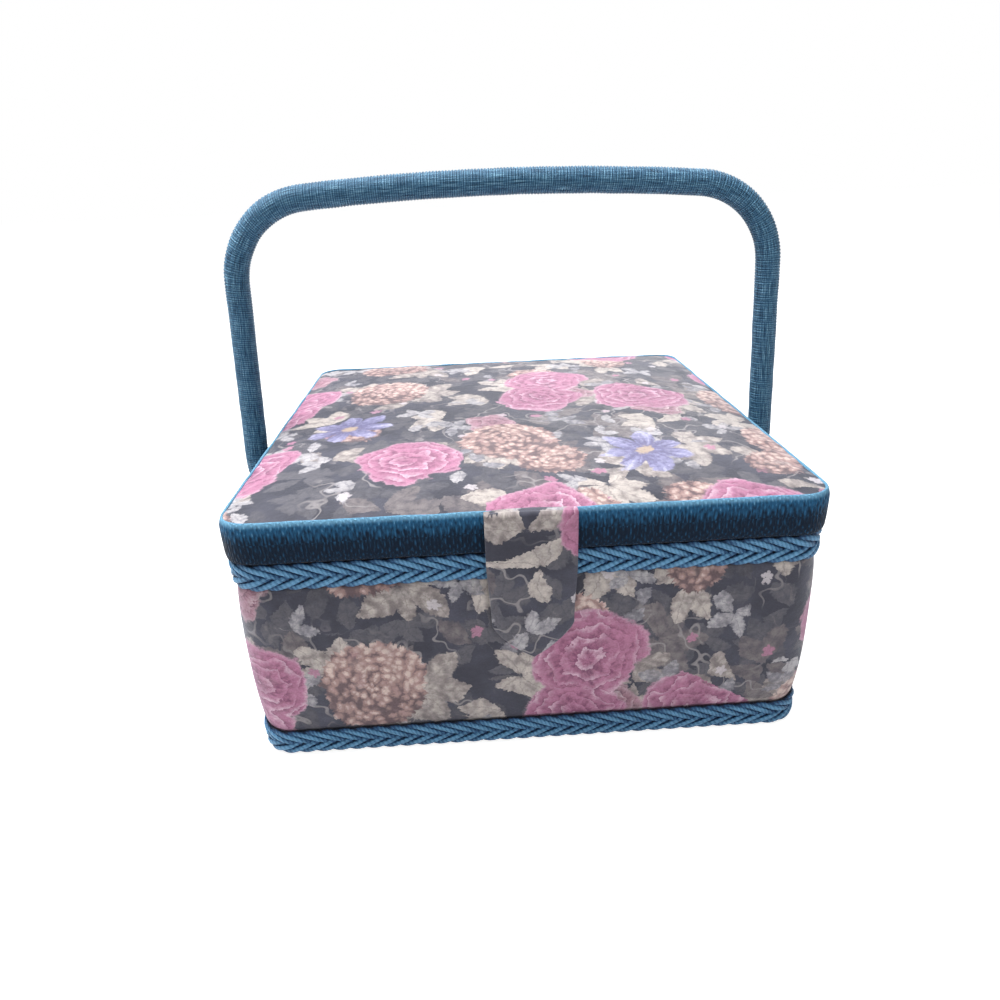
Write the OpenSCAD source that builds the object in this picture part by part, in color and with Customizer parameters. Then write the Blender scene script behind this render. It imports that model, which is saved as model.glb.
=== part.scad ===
// Cloth-covered sewing carrier: a square fibreboard box with a padded lid,
// a closing tab, a wound bow handle and a lift-out tray. Millimetres.
// +X is to the right, +Y is to the back, +Z is up.
// The origin is on the underside, at the middle of the box.

/* [Box] */
// Width of the box over its outer cloth
box_w = 205; // [185:1:225]
// Depth of the box over its outer cloth
box_d = 205; // [185:1:225]
// Height of the box's rim
box_h = 83; // [78:1:110]
// Radius of the box's upright corners, over the cloth
box_corner = 11; // [10:0.5:16]
// Thickness of the bent wall board
wall_t = 2.5; // [2:0.1:3.5]
// Thickness of the board in the base
base_t = 3; // [2:0.1:5]
// Thickness of the cloth under the base
base_cloth_t = 0.8; // [0.5:0.1:1.5]
// Thickness of the floral outer cloth, with its glue and backing
cover_t = 1; // [0.8:0.1:1.4]

/* [Braid] */
// Width of the gimp braid
braid_h = 10.4; // [9.5:0.1:12]
// Thickness of the gimp braid
braid_t = 1.8; // [1.2:0.1:2]

/* [Lining] */
// Thickness of the padded lining panels
lining_t = 3.5; // [2.5:0.1:5]
// How far the lining ends below the rim, where it carries the tray
lining_drop = 9; // [8.5:0.1:11]
// Thickness of the pad in the bottom
base_pad_t = 3.5; // [2:0.1:6]
// How far the cloth turned over the rim reaches, in thickness
turn_in_t = 0.6; // [0.4:0.1:0.8]

/* [Lid] */
// How far the lid stands out over the box's cloth on each side
lid_overhang = 2.5; // [2.4:0.1:4]
// Gap between the box's rim and the closed lid
lid_gap = 0.5; // [0.3:0.1:1]
// Height of the woven band round the lid
band_h = 14.5; // [14:0.1:18]
// Thickness of the woven band
band_t = 1.2; // [0.8:0.1:1.6]
// Radius of the lid's corners, over the band
lid_corner = 12; // [11:0.5:16]
// Thickness of the lid's top board
lid_board_t = 2.5; // [2:0.1:3]
// Thickness of the board bent round the lid's rim
lid_rim_t = 2.5; // [2:0.1:3]
// Crown of the foam under the lid's cover, at the middle
pad_crown = 5; // [3:0.5:9]
// Thickness of the lid's floral cover
lid_cover_t = 0.8; // [0.6:0.1:1.2]
// Thickness of the padded lining in the lid
lid_lining_t = 4; // [3:0.1:4.4]
// Thickness of the lining strip inside the lid's rim
rim_lining_t = 1; // [0.6:0.1:1.5]

/* [Closing tab] */
// Width of the tab
tab_w = 31; // [28:1:40]
// Length of the tab, from its fold at the lid to its tip
tab_len = 57; // [54:1:62]
// Height of the pointed end
tab_point_h = 11; // [8:0.5:13]
// How much narrower the tab is on each side where the point starts
tab_taper = 1.1; // [0:0.1:2]
// Thickness of each of the tab's two cloths
tab_cloth_t = 0.8; // [0.5:0.1:1]
// Thickness of the stiffener and of the magnet between them
tab_core_t = 1; // [0.8:0.1:1.4]
// Width of the turned cloth edge round the stiffener
tab_edge = 2; // [1.5:0.1:3]
// Diameter of the magnet
magnet_d = 10; // [8:0.5:12]
// Diameter of the steel keeper on the front
keeper_d = 15; // [12:0.5:18]
// Gap between the hanging tab and the lid's band
tab_gap = 0.7; // [0.5:0.1:0.9]
// Gap between the tab and the keeper, and between the tab and its root
tab_play = 0.4; // [0.3:0.05:0.5]

/* [Hinges] */
// Width of each of the two hinges
hinge_w = 26; // [24:1:34]
// Distance of each hinge from the middle
hinge_x = 58; // [40:1:70]
// Thickness of the hinge leaves
leaf_t = 0.8; // [0.6:0.1:1]
// Diameter of the hinge pins
hinge_pin_d = 1.8; // [1.6:0.1:2.2]
// Wall of the knuckles round the pin
knuckle_wall = 1; // [0.8:0.05:1.1]
// Radial running play of the hinge pin
hinge_play = 0.05; // [0.03:0.01:0.08]
// Diameter of the hinge screws' shanks
screw_d = 2.2; // [1.8:0.1:2.6]

/* [Handle] */
// Diameter of the handle over its winding
handle_d = 10.4; // [9:0.1:12]
// Diameter of the steel rod inside the winding
rod_d = 6; // [5:0.1:7]
// Height of the pivots above the base
pivot_h = 36; // [34:0.5:38]
// Height of the bar's middle above the pivots
bar_rise = 160.4; // [150:0.1:164]
// Radius of the bar's slight arch
bar_arch_r = 1050; // [800:10:2000]
// Radius of the handle's two upper corners, on its centre line
bow_corner = 34.5; // [28:0.5:42]
// How far the arms stand out beyond the pivots
arm_splay = 7.8; // [7:0.1:9]
// Inward lean of the arms
arm_lean = 3.87; // [2:0.05:5]
// Length of the plastic spacer between the box and the handle
spacer_len = 5.9; // [5.5:0.1:8]
// Outer diameter of the spacer
spacer_d = 14; // [12:0.5:16]
// Diameter of the handle bolts
bolt_d = 5; // [4:0.5:6]
// Diameter of the bolts' domed heads
bolt_head_d = 13; // [11:0.5:15]
// Radial running play of the bolts in the handle
pivot_play = 0.05; // [0.03:0.01:0.08]
// Thickness of the flattened ends of the rod
paddle_t = 3.2; // [2.5:0.1:4]
// Width of the flattened ends
paddle_w = 15; // [13:0.5:17]

/* [Tray] */
// Depth of the tray
tray_h = 23.8; // [14:0.1:24]
// Wall of the tray
tray_wall = 1.6; // [1.2:0.1:2]
// Thickness of the walls between the compartments
divider_t = 1.4; // [1:0.1:2]
// Width of the middle compartment in front
tray_mid_w = 60.4; // [40:0.1:80]
// Depth of the rear compartments
tray_back_d = 72; // [40:1:100]
// Play between the tray and the lining
tray_play = 1.2; // [0.8:0.1:2]
// Radius of the two finger notches
notch_r = 11; // [8:0.5:13]

/* [Inside the lid] */
// Width of the gathered pocket
pocket_w = 108; // [60:1:115]
// Depth of the gathered pocket
pocket_d = 78; // [50:1:85]
// Thickness of the pocket
pocket_t = 2.4; // [1.6:0.1:3]
// Width of the elastic in the pocket's mouth
elastic_w = 6; // [4:0.5:8]
// Side of the square pincushion
pincushion_w = 56; // [40:1:60]
// Height of the pincushion
pincushion_h = 6.5; // [4:0.1:6.8]

/* [Hidden] */
$fn = 64;

// How far a cutter runs past the face that it cuts
cut = 1;

// Half sizes of the box, from its cloth inwards
half_x = box_w / 2;
half_y = box_d / 2;
wall_top = box_h - turn_in_t;
inner_off = cover_t + wall_t;
lining_off = inner_off + lining_t;
lining_top = box_h - lining_drop;
base_top = base_cloth_t + base_t;

// The lid, from its underside up
lid_z = box_h + lid_gap;
lid_top = lid_z + band_h;
lid_x = half_x + lid_overhang;
lid_y = half_y + lid_overhang;
hem_t = 0.4;
lid_board_top = lid_top - lid_cover_t;
lid_board_z = lid_board_top - lid_board_t;
lid_lining_z = lid_board_z - lid_lining_t;
lid_in = band_t + lid_rim_t;
lining_clear = 0.1;

// The tab hangs from a rolled fold in front of the lid's band
tab_t = 2 * tab_cloth_t + tab_core_t;
fold_r = tab_t / 2;
tab_back_y = -lid_y - tab_gap;
fold_y = tab_back_y - fold_r;
fold_drop = 1.1;
fold_z = lid_top + fold_r - fold_drop;
tab_root_t = 0.8;
keeper_z = fold_z - tab_len + tab_point_h + magnet_d / 2;
keeper_face_y = tab_back_y + tab_play;

// Hinge line at the back, on the parting plane between box and lid
pin_r = hinge_pin_d / 2;
knuckle_r = pin_r + knuckle_wall;
hinge_z = box_h + lid_gap / 2;
knuckle_stand = 0.4;
hinge_y = lid_y + knuckle_r + knuckle_stand;
knuckle_gap = 0.3;
mid_knuckle = 9.36;
leaf_lap = 9.5;
web_below = 1.2;
lower_web_h = 2;
upper_web_drop = 0.6;
upper_web_h = 1.6;
lower_leaf_y = half_y + braid_t;
leaf_below = 1.7;
leaf_above = 1.3;
lower_leaf_top = hinge_z - leaf_below;
upper_leaf_z = hinge_z + leaf_above;
screw_r = screw_d / 2;
screw_head_r = 1.98;
screw_head_h = 0.9;
screw_inset = 5;
screw_x = hinge_w / 2 - screw_inset;
lower_screw_z = lower_leaf_top - leaf_lap / 2;
upper_screw_z = upper_leaf_z + leaf_lap / 2;
screw_bite = 1.9;

// Handle: the flattened ends stand off the box on spacers
bolt_r = bolt_d / 2;
bore_r = bolt_r + pivot_play;
spacer_gap = 0.3;
paddle_gap = 0.2;
paddle_in = half_x + spacer_gap + spacer_len + paddle_gap;
foot_x = paddle_in + paddle_t / 2;
washer_t = 1.2;
washer_rim = 3.5;
washer_r = bolt_r + washer_rim;
nut_hex_h = 4;
nut_af = bolt_d * 1.6;
nut_r = nut_af / 2 / cos(30);
nut_in = half_x - lining_off - washer_t;
nut_dome_h = 3.5;
nut_step = 0.2;
nut_skin = 1.2;
bolt_head_h = 3;
bolt_head_edge = 0.8;
bolt_play = 0.1;
bolt_hole_r = bolt_r + bolt_play;

// Centre line of the right half of the bow, in X and Z, from the pivot up
foot_bend_r = 30;
foot_bend_a = 20;
hip_r = 40;
winding_lift = 2.5;
foot_straight = 2;
rod_overlap = 3;
winding_z = pivot_h + paddle_w / 2 + winding_lift;
foot_z = winding_z + foot_straight;
foot_bend_c = [foot_x + foot_bend_r, foot_z];
foot_end = foot_bend_c - foot_bend_r * [cos(foot_bend_a), -sin(foot_bend_a)];
hip_start_x = foot_x + arm_splay - hip_r * (1 - cos(foot_bend_a));
reach_len = (hip_start_x - foot_end.x) / sin(foot_bend_a);
hip_start = foot_end + reach_len * [sin(foot_bend_a), cos(foot_bend_a)];
hip_c = hip_start - hip_r * [cos(foot_bend_a), -sin(foot_bend_a)];
hip_end = hip_c + hip_r * [cos(arm_lean), sin(arm_lean)];
arm_dir = [-sin(arm_lean), cos(arm_lean)];
arm_left = [-cos(arm_lean), -sin(arm_lean)];
arch_c = [0, pivot_h + bar_rise - bar_arch_r];
// The corner's centre lies on a line parallel to the arm, inside the arch
corner_base = hip_end + bow_corner * arm_left;
to_base = corner_base - arch_c;
along = to_base * arm_dir;
corner_t = -along + sqrt(along * along - to_base * to_base + pow(bar_arch_r - bow_corner, 2));
corner_c = corner_base + corner_t * arm_dir;
arm_end = corner_c - bow_corner * arm_left;
arch_half_a = atan2(corner_c.x, corner_c.y - arch_c.y);
rod_r = rod_d / 2;
winding_play = 0.05;

// The tray hangs by its flange on the top edges of the lining
tray_flange_t = 1.7;
tray_seat = 0.1;
tray_flange_z = lining_top + tray_seat;
tray_top = tray_flange_z + tray_flange_t;
tray_z = tray_top - tray_h;
tray_floor = tray_z + tray_wall;
tray_off = lining_off + tray_play;
flange_play = 0.5;
flange_off = inner_off + turn_in_t + flange_play;
notch_y = -20;
tray_in_x = half_x - tray_off - tray_wall;
tray_in_y = half_y - tray_off - tray_wall;
row_y = tray_in_y - tray_back_d;
well_corner = 3;
tray_corner = 4;
flange_corner = 2;

// Pocket and pincushion side by side on the lid's lining
side_margin = 8;
hinge_margin = 14.3;
field_x = lid_x - lid_in - rim_lining_t - side_margin;
field_y = lid_y - lid_in - rim_lining_t - hinge_margin;
pocket_x = -field_x + pocket_w / 2;
pocket_y = field_y - pocket_d / 2;
pincushion_x = field_x - pincushion_w / 2;
pincushion_y = field_y - pincushion_w / 2;

// Rounded rectangle with half sizes hx and hy
module plate2d(hx, hy, r) {
    square([2 * (hx - r), 2 * hy], center = true);
    square([2 * hx, 2 * (hy - r)], center = true);
    for (sx = [-1, 1], sy = [-1, 1])
        translate([sx * (hx - r), sy * (hy - r)]) circle(r);
}

// Rounded rectangular ring, t thick, inside the half sizes hx and hy
module hoop2d(hx, hy, r, t) {
    difference() {
        plate2d(hx, hy, r);
        plate2d(hx - t, hy - t, max(r - t, 0.5));
    }
}

// Upright prism of a 2D child from z0 to z1
module rise(z0, z1) {
    translate([0, 0, z0]) linear_extrude(z1 - z0) children();
}

// Ring that starts off millimetres inside the box's cloth
module box_hoop(off, t) {
    hoop2d(half_x - off, half_y - off, max(box_corner - off, 1), t);
}

module lid_hoop(off, t) {
    hoop2d(lid_x - off, lid_y - off, max(lid_corner - off, 1), t);
}

// Rod along X from x0 to x1 through the pivots or the hinge line
module bar_x(x0, x1, r, y, z) {
    translate([x0, y, z]) rotate([0, 90, 0]) cylinder(r = r, h = x1 - x0);
}

// Rod along Y from y0 to y1
module bar_y(y0, y1, r, x, z) {
    translate([x, y0, z]) rotate([-90, 0, 0]) cylinder(r = r, h = y1 - y0);
}

// The same child on the right and on the left
module both_sides() {
    children();
    mirror([1, 0, 0]) children();
}

module bolt_holes(r) {
    both_sides() bar_x(half_x - lining_off - cut, half_x + cut, r, 0, pivot_h);
}

module hinge_screw_places(z) {
    for (hx = [-hinge_x, hinge_x], sx = [-screw_x, screw_x]) translate([hx + sx, 0, z]) children();
}

// Box
module base_cloth() {
    color("#26262b") rise(0, base_cloth_t)
        plate2d(half_x - cover_t, half_y - cover_t, box_corner - cover_t);
}

module base_board() {
    color("#9b7b55") rise(base_cloth_t, base_top)
        plate2d(half_x - inner_off, half_y - inner_off, box_corner - inner_off);
}

module wall_board() {
    color("#9b7b55") difference() {
        rise(base_cloth_t, wall_top) box_hoop(cover_t, wall_t);
        bolt_holes(bolt_hole_r);
        hinge_screw_places(lower_screw_z)
            bar_y(half_y - cover_t - screw_bite, half_y, screw_r, 0, 0);
    }
}

module outer_cover() {
    color("#55525d") difference() {
        union() {
            rise(base_cloth_t, wall_top) box_hoop(0, cover_t);
            rise(wall_top, box_h) box_hoop(0, inner_off);
            rise(lining_top, box_h) box_hoop(inner_off, turn_in_t);
        }
        bolt_holes(bolt_hole_r);
        hinge_screw_places(lower_screw_z)
            bar_y(half_y - cover_t - cut / 10, half_y + cut, screw_r, 0, 0);
    }
}

module braid(z) {
    rise(z, z + braid_h) box_hoop(-braid_t, braid_t);
}

module rim_braid() {
    color("#3f7695") difference() {
        braid(box_h - braid_h);
        hinge_screw_places(lower_screw_z)
            bar_y(half_y - cut / 2, half_y + braid_t + cut, screw_r, 0, 0);
    }
}

module base_braid() {
    color("#3f7695") braid(base_cloth_t);
}

// One mitred panel of the lining, turned to its side
module lining_panel(side) {
    far = half_x + half_y;
    corner_x = half_x - inner_off;
    corner_y = half_y - inner_off;
    mitre = [[0, 0], [-corner_x, -corner_y], [-corner_x, -far], [corner_x, -far], [corner_x, -corner_y]];
    flank = [[0, 0], [corner_x, -corner_y], [far, -corner_y], [far, corner_y], [corner_x, corner_y]];
    turn = side == "back" || side == "left" ? 180 : 0;
    rise(base_top, lining_top) intersection() {
        box_hoop(inner_off, lining_t);
        rotate(turn) polygon(side == "front" || side == "back" ? mitre : flank);
    }
}

module lining_front() {
    color("#5d7f95") lining_panel("front");
}

module lining_back() {
    color("#5d7f95") lining_panel("back");
}

module lining_left() {
    color("#5d7f95") difference() {
        lining_panel("left");
        bolt_holes(bolt_hole_r);
    }
}

module lining_right() {
    color("#5d7f95") difference() {
        lining_panel("right");
        bolt_holes(bolt_hole_r);
    }
}

module base_lining() {
    off = lining_off + 2 * lining_clear;
    color("#5d7f95") rise(base_top, base_top + base_pad_t) plate2d(half_x - off, half_y - off, 4);
}

// Steel disc on the front that the tab's magnet holds to
module closure_keeper() {
    color("silver") bar_y(keeper_face_y, -half_y, keeper_d / 2, 0, keeper_z);
}

// Hinges
module knuckle(x0, x1, r_bore) {
    difference() {
        children();
        bar_x(x0 - cut, x1 + cut, r_bore, hinge_y, hinge_z);
    }
}

module lower_leaf() {
    end_w = (hinge_w - mid_knuckle) / 2 - knuckle_gap;
    translate([-hinge_w / 2, lower_leaf_y, lower_leaf_top - leaf_lap])
        cube([hinge_w, leaf_t, leaf_lap]);
    for (s = [-1, 1]) {
        x0 = s > 0 ? hinge_w / 2 - end_w : -hinge_w / 2;
        knuckle(x0, x0 + end_w, pin_r) {
            bar_x(x0, x0 + end_w, knuckle_r, hinge_y, hinge_z);
            translate([x0, lower_leaf_y, lower_leaf_top - web_below])
                cube([end_w, hinge_y - lower_leaf_y, lower_web_h]);
        }
    }
}

module lower_hinge_leaves() {
    color("#b08d4a") difference() {
        for (hx = [-hinge_x, hinge_x]) translate([hx, 0, 0]) lower_leaf();
        hinge_screw_places(lower_screw_z)
            bar_y(lower_leaf_y - cut, lower_leaf_y + leaf_t + cut, screw_r, 0, 0);
    }
}

module upper_leaf() {
    half_w = mid_knuckle / 2;
    translate([-hinge_w / 2, lid_y, upper_leaf_z]) cube([hinge_w, leaf_t, leaf_lap]);
    knuckle(-half_w, half_w, pin_r + hinge_play) {
        bar_x(-half_w, half_w, knuckle_r, hinge_y, hinge_z);
        translate([-half_w, lid_y, upper_leaf_z - upper_web_drop])
            cube([mid_knuckle, hinge_y - lid_y, upper_web_h]);
    }
}

module upper_hinge_leaves() {
    color("#b08d4a") difference() {
        for (hx = [-hinge_x, hinge_x]) translate([hx, 0, 0]) upper_leaf();
        hinge_screw_places(upper_screw_z) bar_y(lid_y - cut, lid_y + leaf_t + cut, screw_r, 0, 0);
    }
}

module hinge_pins() {
    color("#8f7038") for (hx = [-hinge_x, hinge_x])
        bar_x(hx - hinge_w / 2, hx + hinge_w / 2, pin_r, hinge_y, hinge_z);
}

// Small pan-head screw from the leaf's face y into the board down to y0
module hinge_screw(y0, y) {
    bar_y(y0, y, screw_r, 0, 0);
    translate([0, y, 0]) rotate([-90, 0, 0]) cylinder(r1 = screw_head_r, r2 = screw_r, h = screw_head_h);
}

module lower_hinge_screws() {
    color("#b08d4a") hinge_screw_places(lower_screw_z)
        hinge_screw(half_y - cover_t - screw_bite, lower_leaf_y + leaf_t);
}

module upper_hinge_screws() {
    color("#b08d4a") hinge_screw_places(upper_screw_z)
        hinge_screw(lid_y - band_t - screw_bite, lid_y + leaf_t);
}

// Handle fastening
module handle_bolts() {
    head_x = paddle_in + paddle_t + paddle_gap;
    dome_h = bolt_head_h - bolt_head_edge;
    dome = [for (a = [0:15:90]) [bolt_head_d / 2 * cos(a), bolt_head_edge + dome_h * sin(a)]];
    color("#b9bcc0") both_sides() {
        bar_x(nut_in - nut_hex_h - cut, head_x + bolt_head_edge / 2, bolt_r, 0, pivot_h);
        translate([head_x, 0, pivot_h]) rotate([0, 90, 0])
            rotate_extrude() polygon(concat([[0, 0], [bolt_head_d / 2, 0]], dome));
    }
}

module bolt_washers() {
    color("#b9bcc0") both_sides() difference() {
        bar_x(nut_in, nut_in + washer_t, washer_r, 0, pivot_h);
        bar_x(nut_in - cut, nut_in + washer_t + cut, bolt_hole_r, 0, pivot_h);
    }
}

module dome_nuts() {
    color("#b9bcc0") both_sides() difference() {
        union() {
            translate([nut_in - nut_hex_h, 0, pivot_h]) rotate([0, 90, 0])
                cylinder(r = nut_r, h = nut_hex_h, $fn = 6);
            translate([nut_in - nut_hex_h, 0, pivot_h]) rotate([0, -90, 0])
                cylinder(r1 = nut_af / 2 - nut_step, r2 = nut_af / 4, h = nut_dome_h);
        }
        bar_x(nut_in - nut_hex_h - nut_skin, nut_in + cut, bolt_r, 0, pivot_h);
    }
}

module handle_spacers() {
    x0 = half_x + spacer_gap;
    color("#31525f") both_sides() difference() {
        bar_x(x0, x0 + spacer_len, spacer_d / 2, 0, pivot_h);
        bar_x(x0 - cut, x0 + spacer_len + cut, bore_r, 0, pivot_h);
    }
}

// Rings along the bow's centre line: each is a point in X and Z with the
// angle of the direction that points away from the bow's inside
bend_steps = 3;
corner_rings = 12;
arch_rings = 10;

function bend_rings(c, bend_r, a0, a1, steps, side = 1) =
    [for (k = [0:steps]) let (a = a0 + (a1 - a0) * k / steps)
        [c + side * bend_r * [cos(a), sin(a)], a]];

function mirrored(rings) = [for (i = [len(rings) - 1:-1:0]) let (ring = rings[i])
    [[-ring[0].x, ring[0].y], 180 - ring[1]]];

function bow_rings(z_start) =
    let (side = concat([[[foot_x, z_start], 0]],
        bend_rings(foot_bend_c, foot_bend_r, 0, -foot_bend_a, bend_steps, -1),
        bend_rings(hip_c, hip_r, -foot_bend_a, arm_lean, bend_steps),
        bend_rings(corner_c, bow_corner, arm_lean, 90 - arch_half_a, corner_rings)),
        arch = bend_rings(arch_c, bar_arch_r, 90 - arch_half_a, 90 + arch_half_a, arch_rings))
    concat(side, [for (i = [1:arch_rings - 1]) arch[i]], mirrored(side));

function ring_points(rings, r, sides) = [for (ring = rings, j = [0:sides - 1])
    let (t = 360 * j / sides, g = ring[1], out = r * cos(t))
    [ring[0].x + out * cos(g), r * sin(t), ring[0].y + out * sin(g)]];

function flipped(faces) = [for (f = faces) [f[0], f[2], f[1]]];

// Faces between two loops of points that start at the indices a0 and b0
function loop_faces(a0, b0, sides) = [for (j = [0:sides - 1], h = [0, 1])
    let (n = (j + 1) % sides) h == 0 ? [a0 + j, b0 + j, a0 + n] : [a0 + n, b0 + j, b0 + n]];

// The whole bow from height z_start on one side round to the other,
// hollow where r_in is above 0
module bow(r_out, r_in, z_start, sides) {
    rings = bow_rings(z_start);
    count = len(rings);
    total = count * sides;
    last = total - sides;
    skin = [for (i = [0:count - 2]) each loop_faces(i * sides, (i + 1) * sides, sides)];
    if (r_in > 0) {
        bore = [for (f = flipped(skin)) [f[0] + total, f[1] + total, f[2] + total]];
        ends = concat(flipped(loop_faces(0, total, sides)), loop_faces(last, total + last, sides));
        polyhedron(concat(ring_points(rings, r_out, sides), ring_points(rings, r_in, sides)),
            concat(skin, bore, ends));
    } else {
        caps = [for (j = [1:sides - 2]) each [[0, j, j + 1], [last, last + j + 1, last + j]]];
        polyhedron(ring_points(rings, r_out, sides), concat(skin, caps));
    }
}

module handle_rod() {
    color("#8d9196") difference() {
        union() {
            bow(rod_r, 0, winding_z - rod_overlap, 10);
            both_sides() {
                bar_x(paddle_in, paddle_in + paddle_t, paddle_w / 2, 0, pivot_h);
                translate([paddle_in, -rod_r, pivot_h])
                    cube([paddle_t, rod_d, winding_z - pivot_h - cut / 2]);
            }
        }
        both_sides() bar_x(paddle_in - cut, paddle_in + paddle_t + cut, bore_r, 0, pivot_h);
    }
}

module handle_winding() {
    color("#2c5f78") bow(handle_d / 2, rod_r + winding_play, winding_z, 14);
}

// Tray with five compartments, two behind and three in front
module tray_well(x0, x1, y0, y1) {
    rise(tray_floor, tray_top + cut) translate([(x0 + x1) / 2, (y0 + y1) / 2])
        plate2d((x1 - x0) / 2, (y1 - y0) / 2, well_corner);
}

module tray() {
    half_t = divider_t / 2;
    half_mid = tray_mid_w / 2;
    color("#d9dde0") difference() {
        union() {
            rise(tray_z, tray_top) plate2d(half_x - tray_off, half_y - tray_off, tray_corner);
            rise(tray_flange_z, tray_top)
                plate2d(half_x - flange_off, half_y - flange_off,
                    max(box_corner - flange_off, flange_corner));
        }
        for (s = [-1, 1]) {
            tray_well(s > 0 ? half_t : -tray_in_x, s > 0 ? tray_in_x : -half_t, row_y, tray_in_y);
            tray_well(s > 0 ? half_mid + divider_t : -tray_in_x,
                s > 0 ? tray_in_x : -half_mid - divider_t, -tray_in_y, row_y - divider_t);
        }
        tray_well(-half_mid, half_mid, -tray_in_y, row_y - divider_t);
        both_sides() bar_x(tray_in_x - cut, half_x, notch_r, notch_y, tray_top + notch_r / 2);
    }
}

// Lid
module lid_rim_board() {
    color("#9b7b55") difference() {
        rise(lid_z + hem_t, lid_board_z) lid_hoop(band_t, lid_rim_t);
        hinge_screw_places(upper_screw_z) bar_y(lid_y - band_t - screw_bite, lid_y, screw_r, 0, 0);
    }
}

module lid_board() {
    color("#9b7b55") rise(lid_board_z, lid_board_top)
        plate2d(lid_x - band_t, lid_y - band_t, lid_corner - band_t);
}

module lid_band() {
    color("#1e4a63") difference() {
        union() {
            rise(lid_z, lid_top) lid_hoop(0, band_t);
            rise(lid_z, lid_z + hem_t) lid_hoop(0, lid_in);
        }
        hinge_screw_places(upper_screw_z)
            bar_y(lid_y - band_t - cut / 2, lid_y + cut, screw_r, 0, 0);
    }
}

// Outline of a rounded rectangle as points, anticlockwise from the right
corner_steps = 4;
side_steps = 6;
ring_steps = 7;

function rounded_corner(hx, hy, r, q) =
    let (sx = q == 0 || q == 3 ? 1 : -1, sy = q < 2 ? 1 : -1)
    [for (k = [0:corner_steps]) let (a = 90 * q + 90 * k / corner_steps)
        [sx * (hx - r) + r * cos(a), sy * (hy - r) + r * sin(a)]];

function outline(hx, hy, r) = [for (q = [0:3])
    let (here = rounded_corner(hx, hy, r, q), after = rounded_corner(hx, hy, r, (q + 1) % 4))
    each concat(here, [for (k = [1:side_steps - 1])
        here[corner_steps] + (after[0] - here[corner_steps]) * k / side_steps])];

// Height of a pad at p, where m is 0 at the middle and 1 on the outline
crown_power = 4;
edge_power = 8;

function crown_at(p, m, hx, hy, crown) = crown * (1 - pow(m, edge_power))
    * (1 - pow(abs(p.x) / hx, crown_power)) * (1 - pow(abs(p.y) / hy, crown_power));

// Rings of points from the middle to the outline, lifted by the crown above z
function crown_points(edge, hx, hy, crown, z, reach = 1) = concat(
    [[0, 0, z + crown]],
    [for (k = [1:ring_steps], p = edge) let (m = reach * k / ring_steps, q = p * m)
        [q.x, q.y, z + crown_at(q, m, hx, hy, crown)]]);

// Faces over such rings, with the first point at index base, seen from above
function crown_faces(n, base) = concat(
    [for (i = [0:n - 1]) [base, base + 1 + (i + 1) % n, base + 1 + i]],
    [for (k = [0:ring_steps - 2], i = [0:n - 1], h = [0, 1])
        let (a = base + 1 + k * n + i, b = base + 1 + k * n + (i + 1) % n)
        h == 0 ? [a, b, a + n] : [b, b + n, a + n]]);

// Closed body between a crowned top and a flat or crowned underside
module crowned_body(hx, hy, r, crown, z_top, crown_under, z_under, reach = 1) {
    edge = outline(hx, hy, r);
    n = len(edge);
    upper = crown_points(edge, hx, hy, crown, z_top, reach);
    under = crown_points(edge, hx, hy, crown_under, z_under, reach);
    count = len(upper);
    last = count - n;
    wall = [for (i = [0:n - 1], h = [0, 1])
        let (a = last + i, b = last + (i + 1) % n)
        h == 0 ? [a, b, a + count] : [b, b + count, a + count]];
    polyhedron(concat(upper, under), concat(crown_faces(n, 0), flipped(crown_faces(n, count)), wall));
}

// The foam ends inside the cover's edge, at this share of its outline
foam_reach = 0.92;

module lid_foam() {
    color("#e8e2c8")
        crowned_body(lid_x - band_t, lid_y - band_t, lid_corner - band_t,
            pad_crown, lid_board_top - lining_clear, 0, lid_board_top, foam_reach);
}

module lid_cover() {
    color("#55525d")
        crowned_body(lid_x - band_t, lid_y - band_t, lid_corner - band_t,
            pad_crown, lid_top, pad_crown, lid_board_top);
}

module lid_lining() {
    off = lid_in + rim_lining_t + lining_clear;
    color("#5d7f95") rise(lid_lining_z, lid_board_z)
        plate2d(lid_x - off, lid_y - off, max(lid_corner - off, 2));
}

module lid_rim_lining() {
    color("#5d7f95") rise(lid_z + hem_t, lid_board_z) lid_hoop(lid_in, rim_lining_t);
}

pocket_corner = 5;
pincushion_corner = 9;
pincushion_edge = 1;

module lid_pocket() {
    color("#6f90a4") rise(lid_lining_z - pocket_t, lid_lining_z)
        translate([pocket_x, pocket_y + elastic_w / 2])
            plate2d(pocket_w / 2, (pocket_d - elastic_w) / 2, pocket_corner);
}

module pocket_elastic() {
    color("#48697d") rise(lid_lining_z - pocket_t, lid_lining_z)
        translate([pocket_x, pocket_y - pocket_d / 2 + elastic_w / 2])
            square([pocket_w, elastic_w], center = true);
}

// Crowned cushion that hangs from the lid's lining
module pincushion() {
    side = pincushion_w / 2;
    crown = pincushion_h - pincushion_edge;
    color("#8d4f68") translate([pincushion_x, pincushion_y, lid_lining_z]) mirror([0, 0, 1])
        crowned_body(side, side, pincushion_corner, crown, pincushion_edge, 0, 0);
}

// Closing tab, drawn in X and Z with its fold at z = 0 and its tip below
function unit(v) = v / norm(v);

// Arc of radius r that rounds the corner q between the points p and s
function round_corner(p, q, s, r) =
    let (a = unit(p - q), b = unit(s - q), half = acos(a * b) / 2,
        c = q + unit(a + b) * r / sin(half),
        from = q + a * r / tan(half) - c, to = q + b * r / tan(half) - c,
        a0 = atan2(from.y, from.x), swing = (atan2(to.y, to.x) - a0 + 540) % 360 - 180)
    [for (k = [0:6]) c + r * [cos(a0 + swing * k / 6), sin(a0 + swing * k / 6)]];

tab_shoulder_r = 4;
tab_tip_r = 7;
tip_inset = 1.3;

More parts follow.
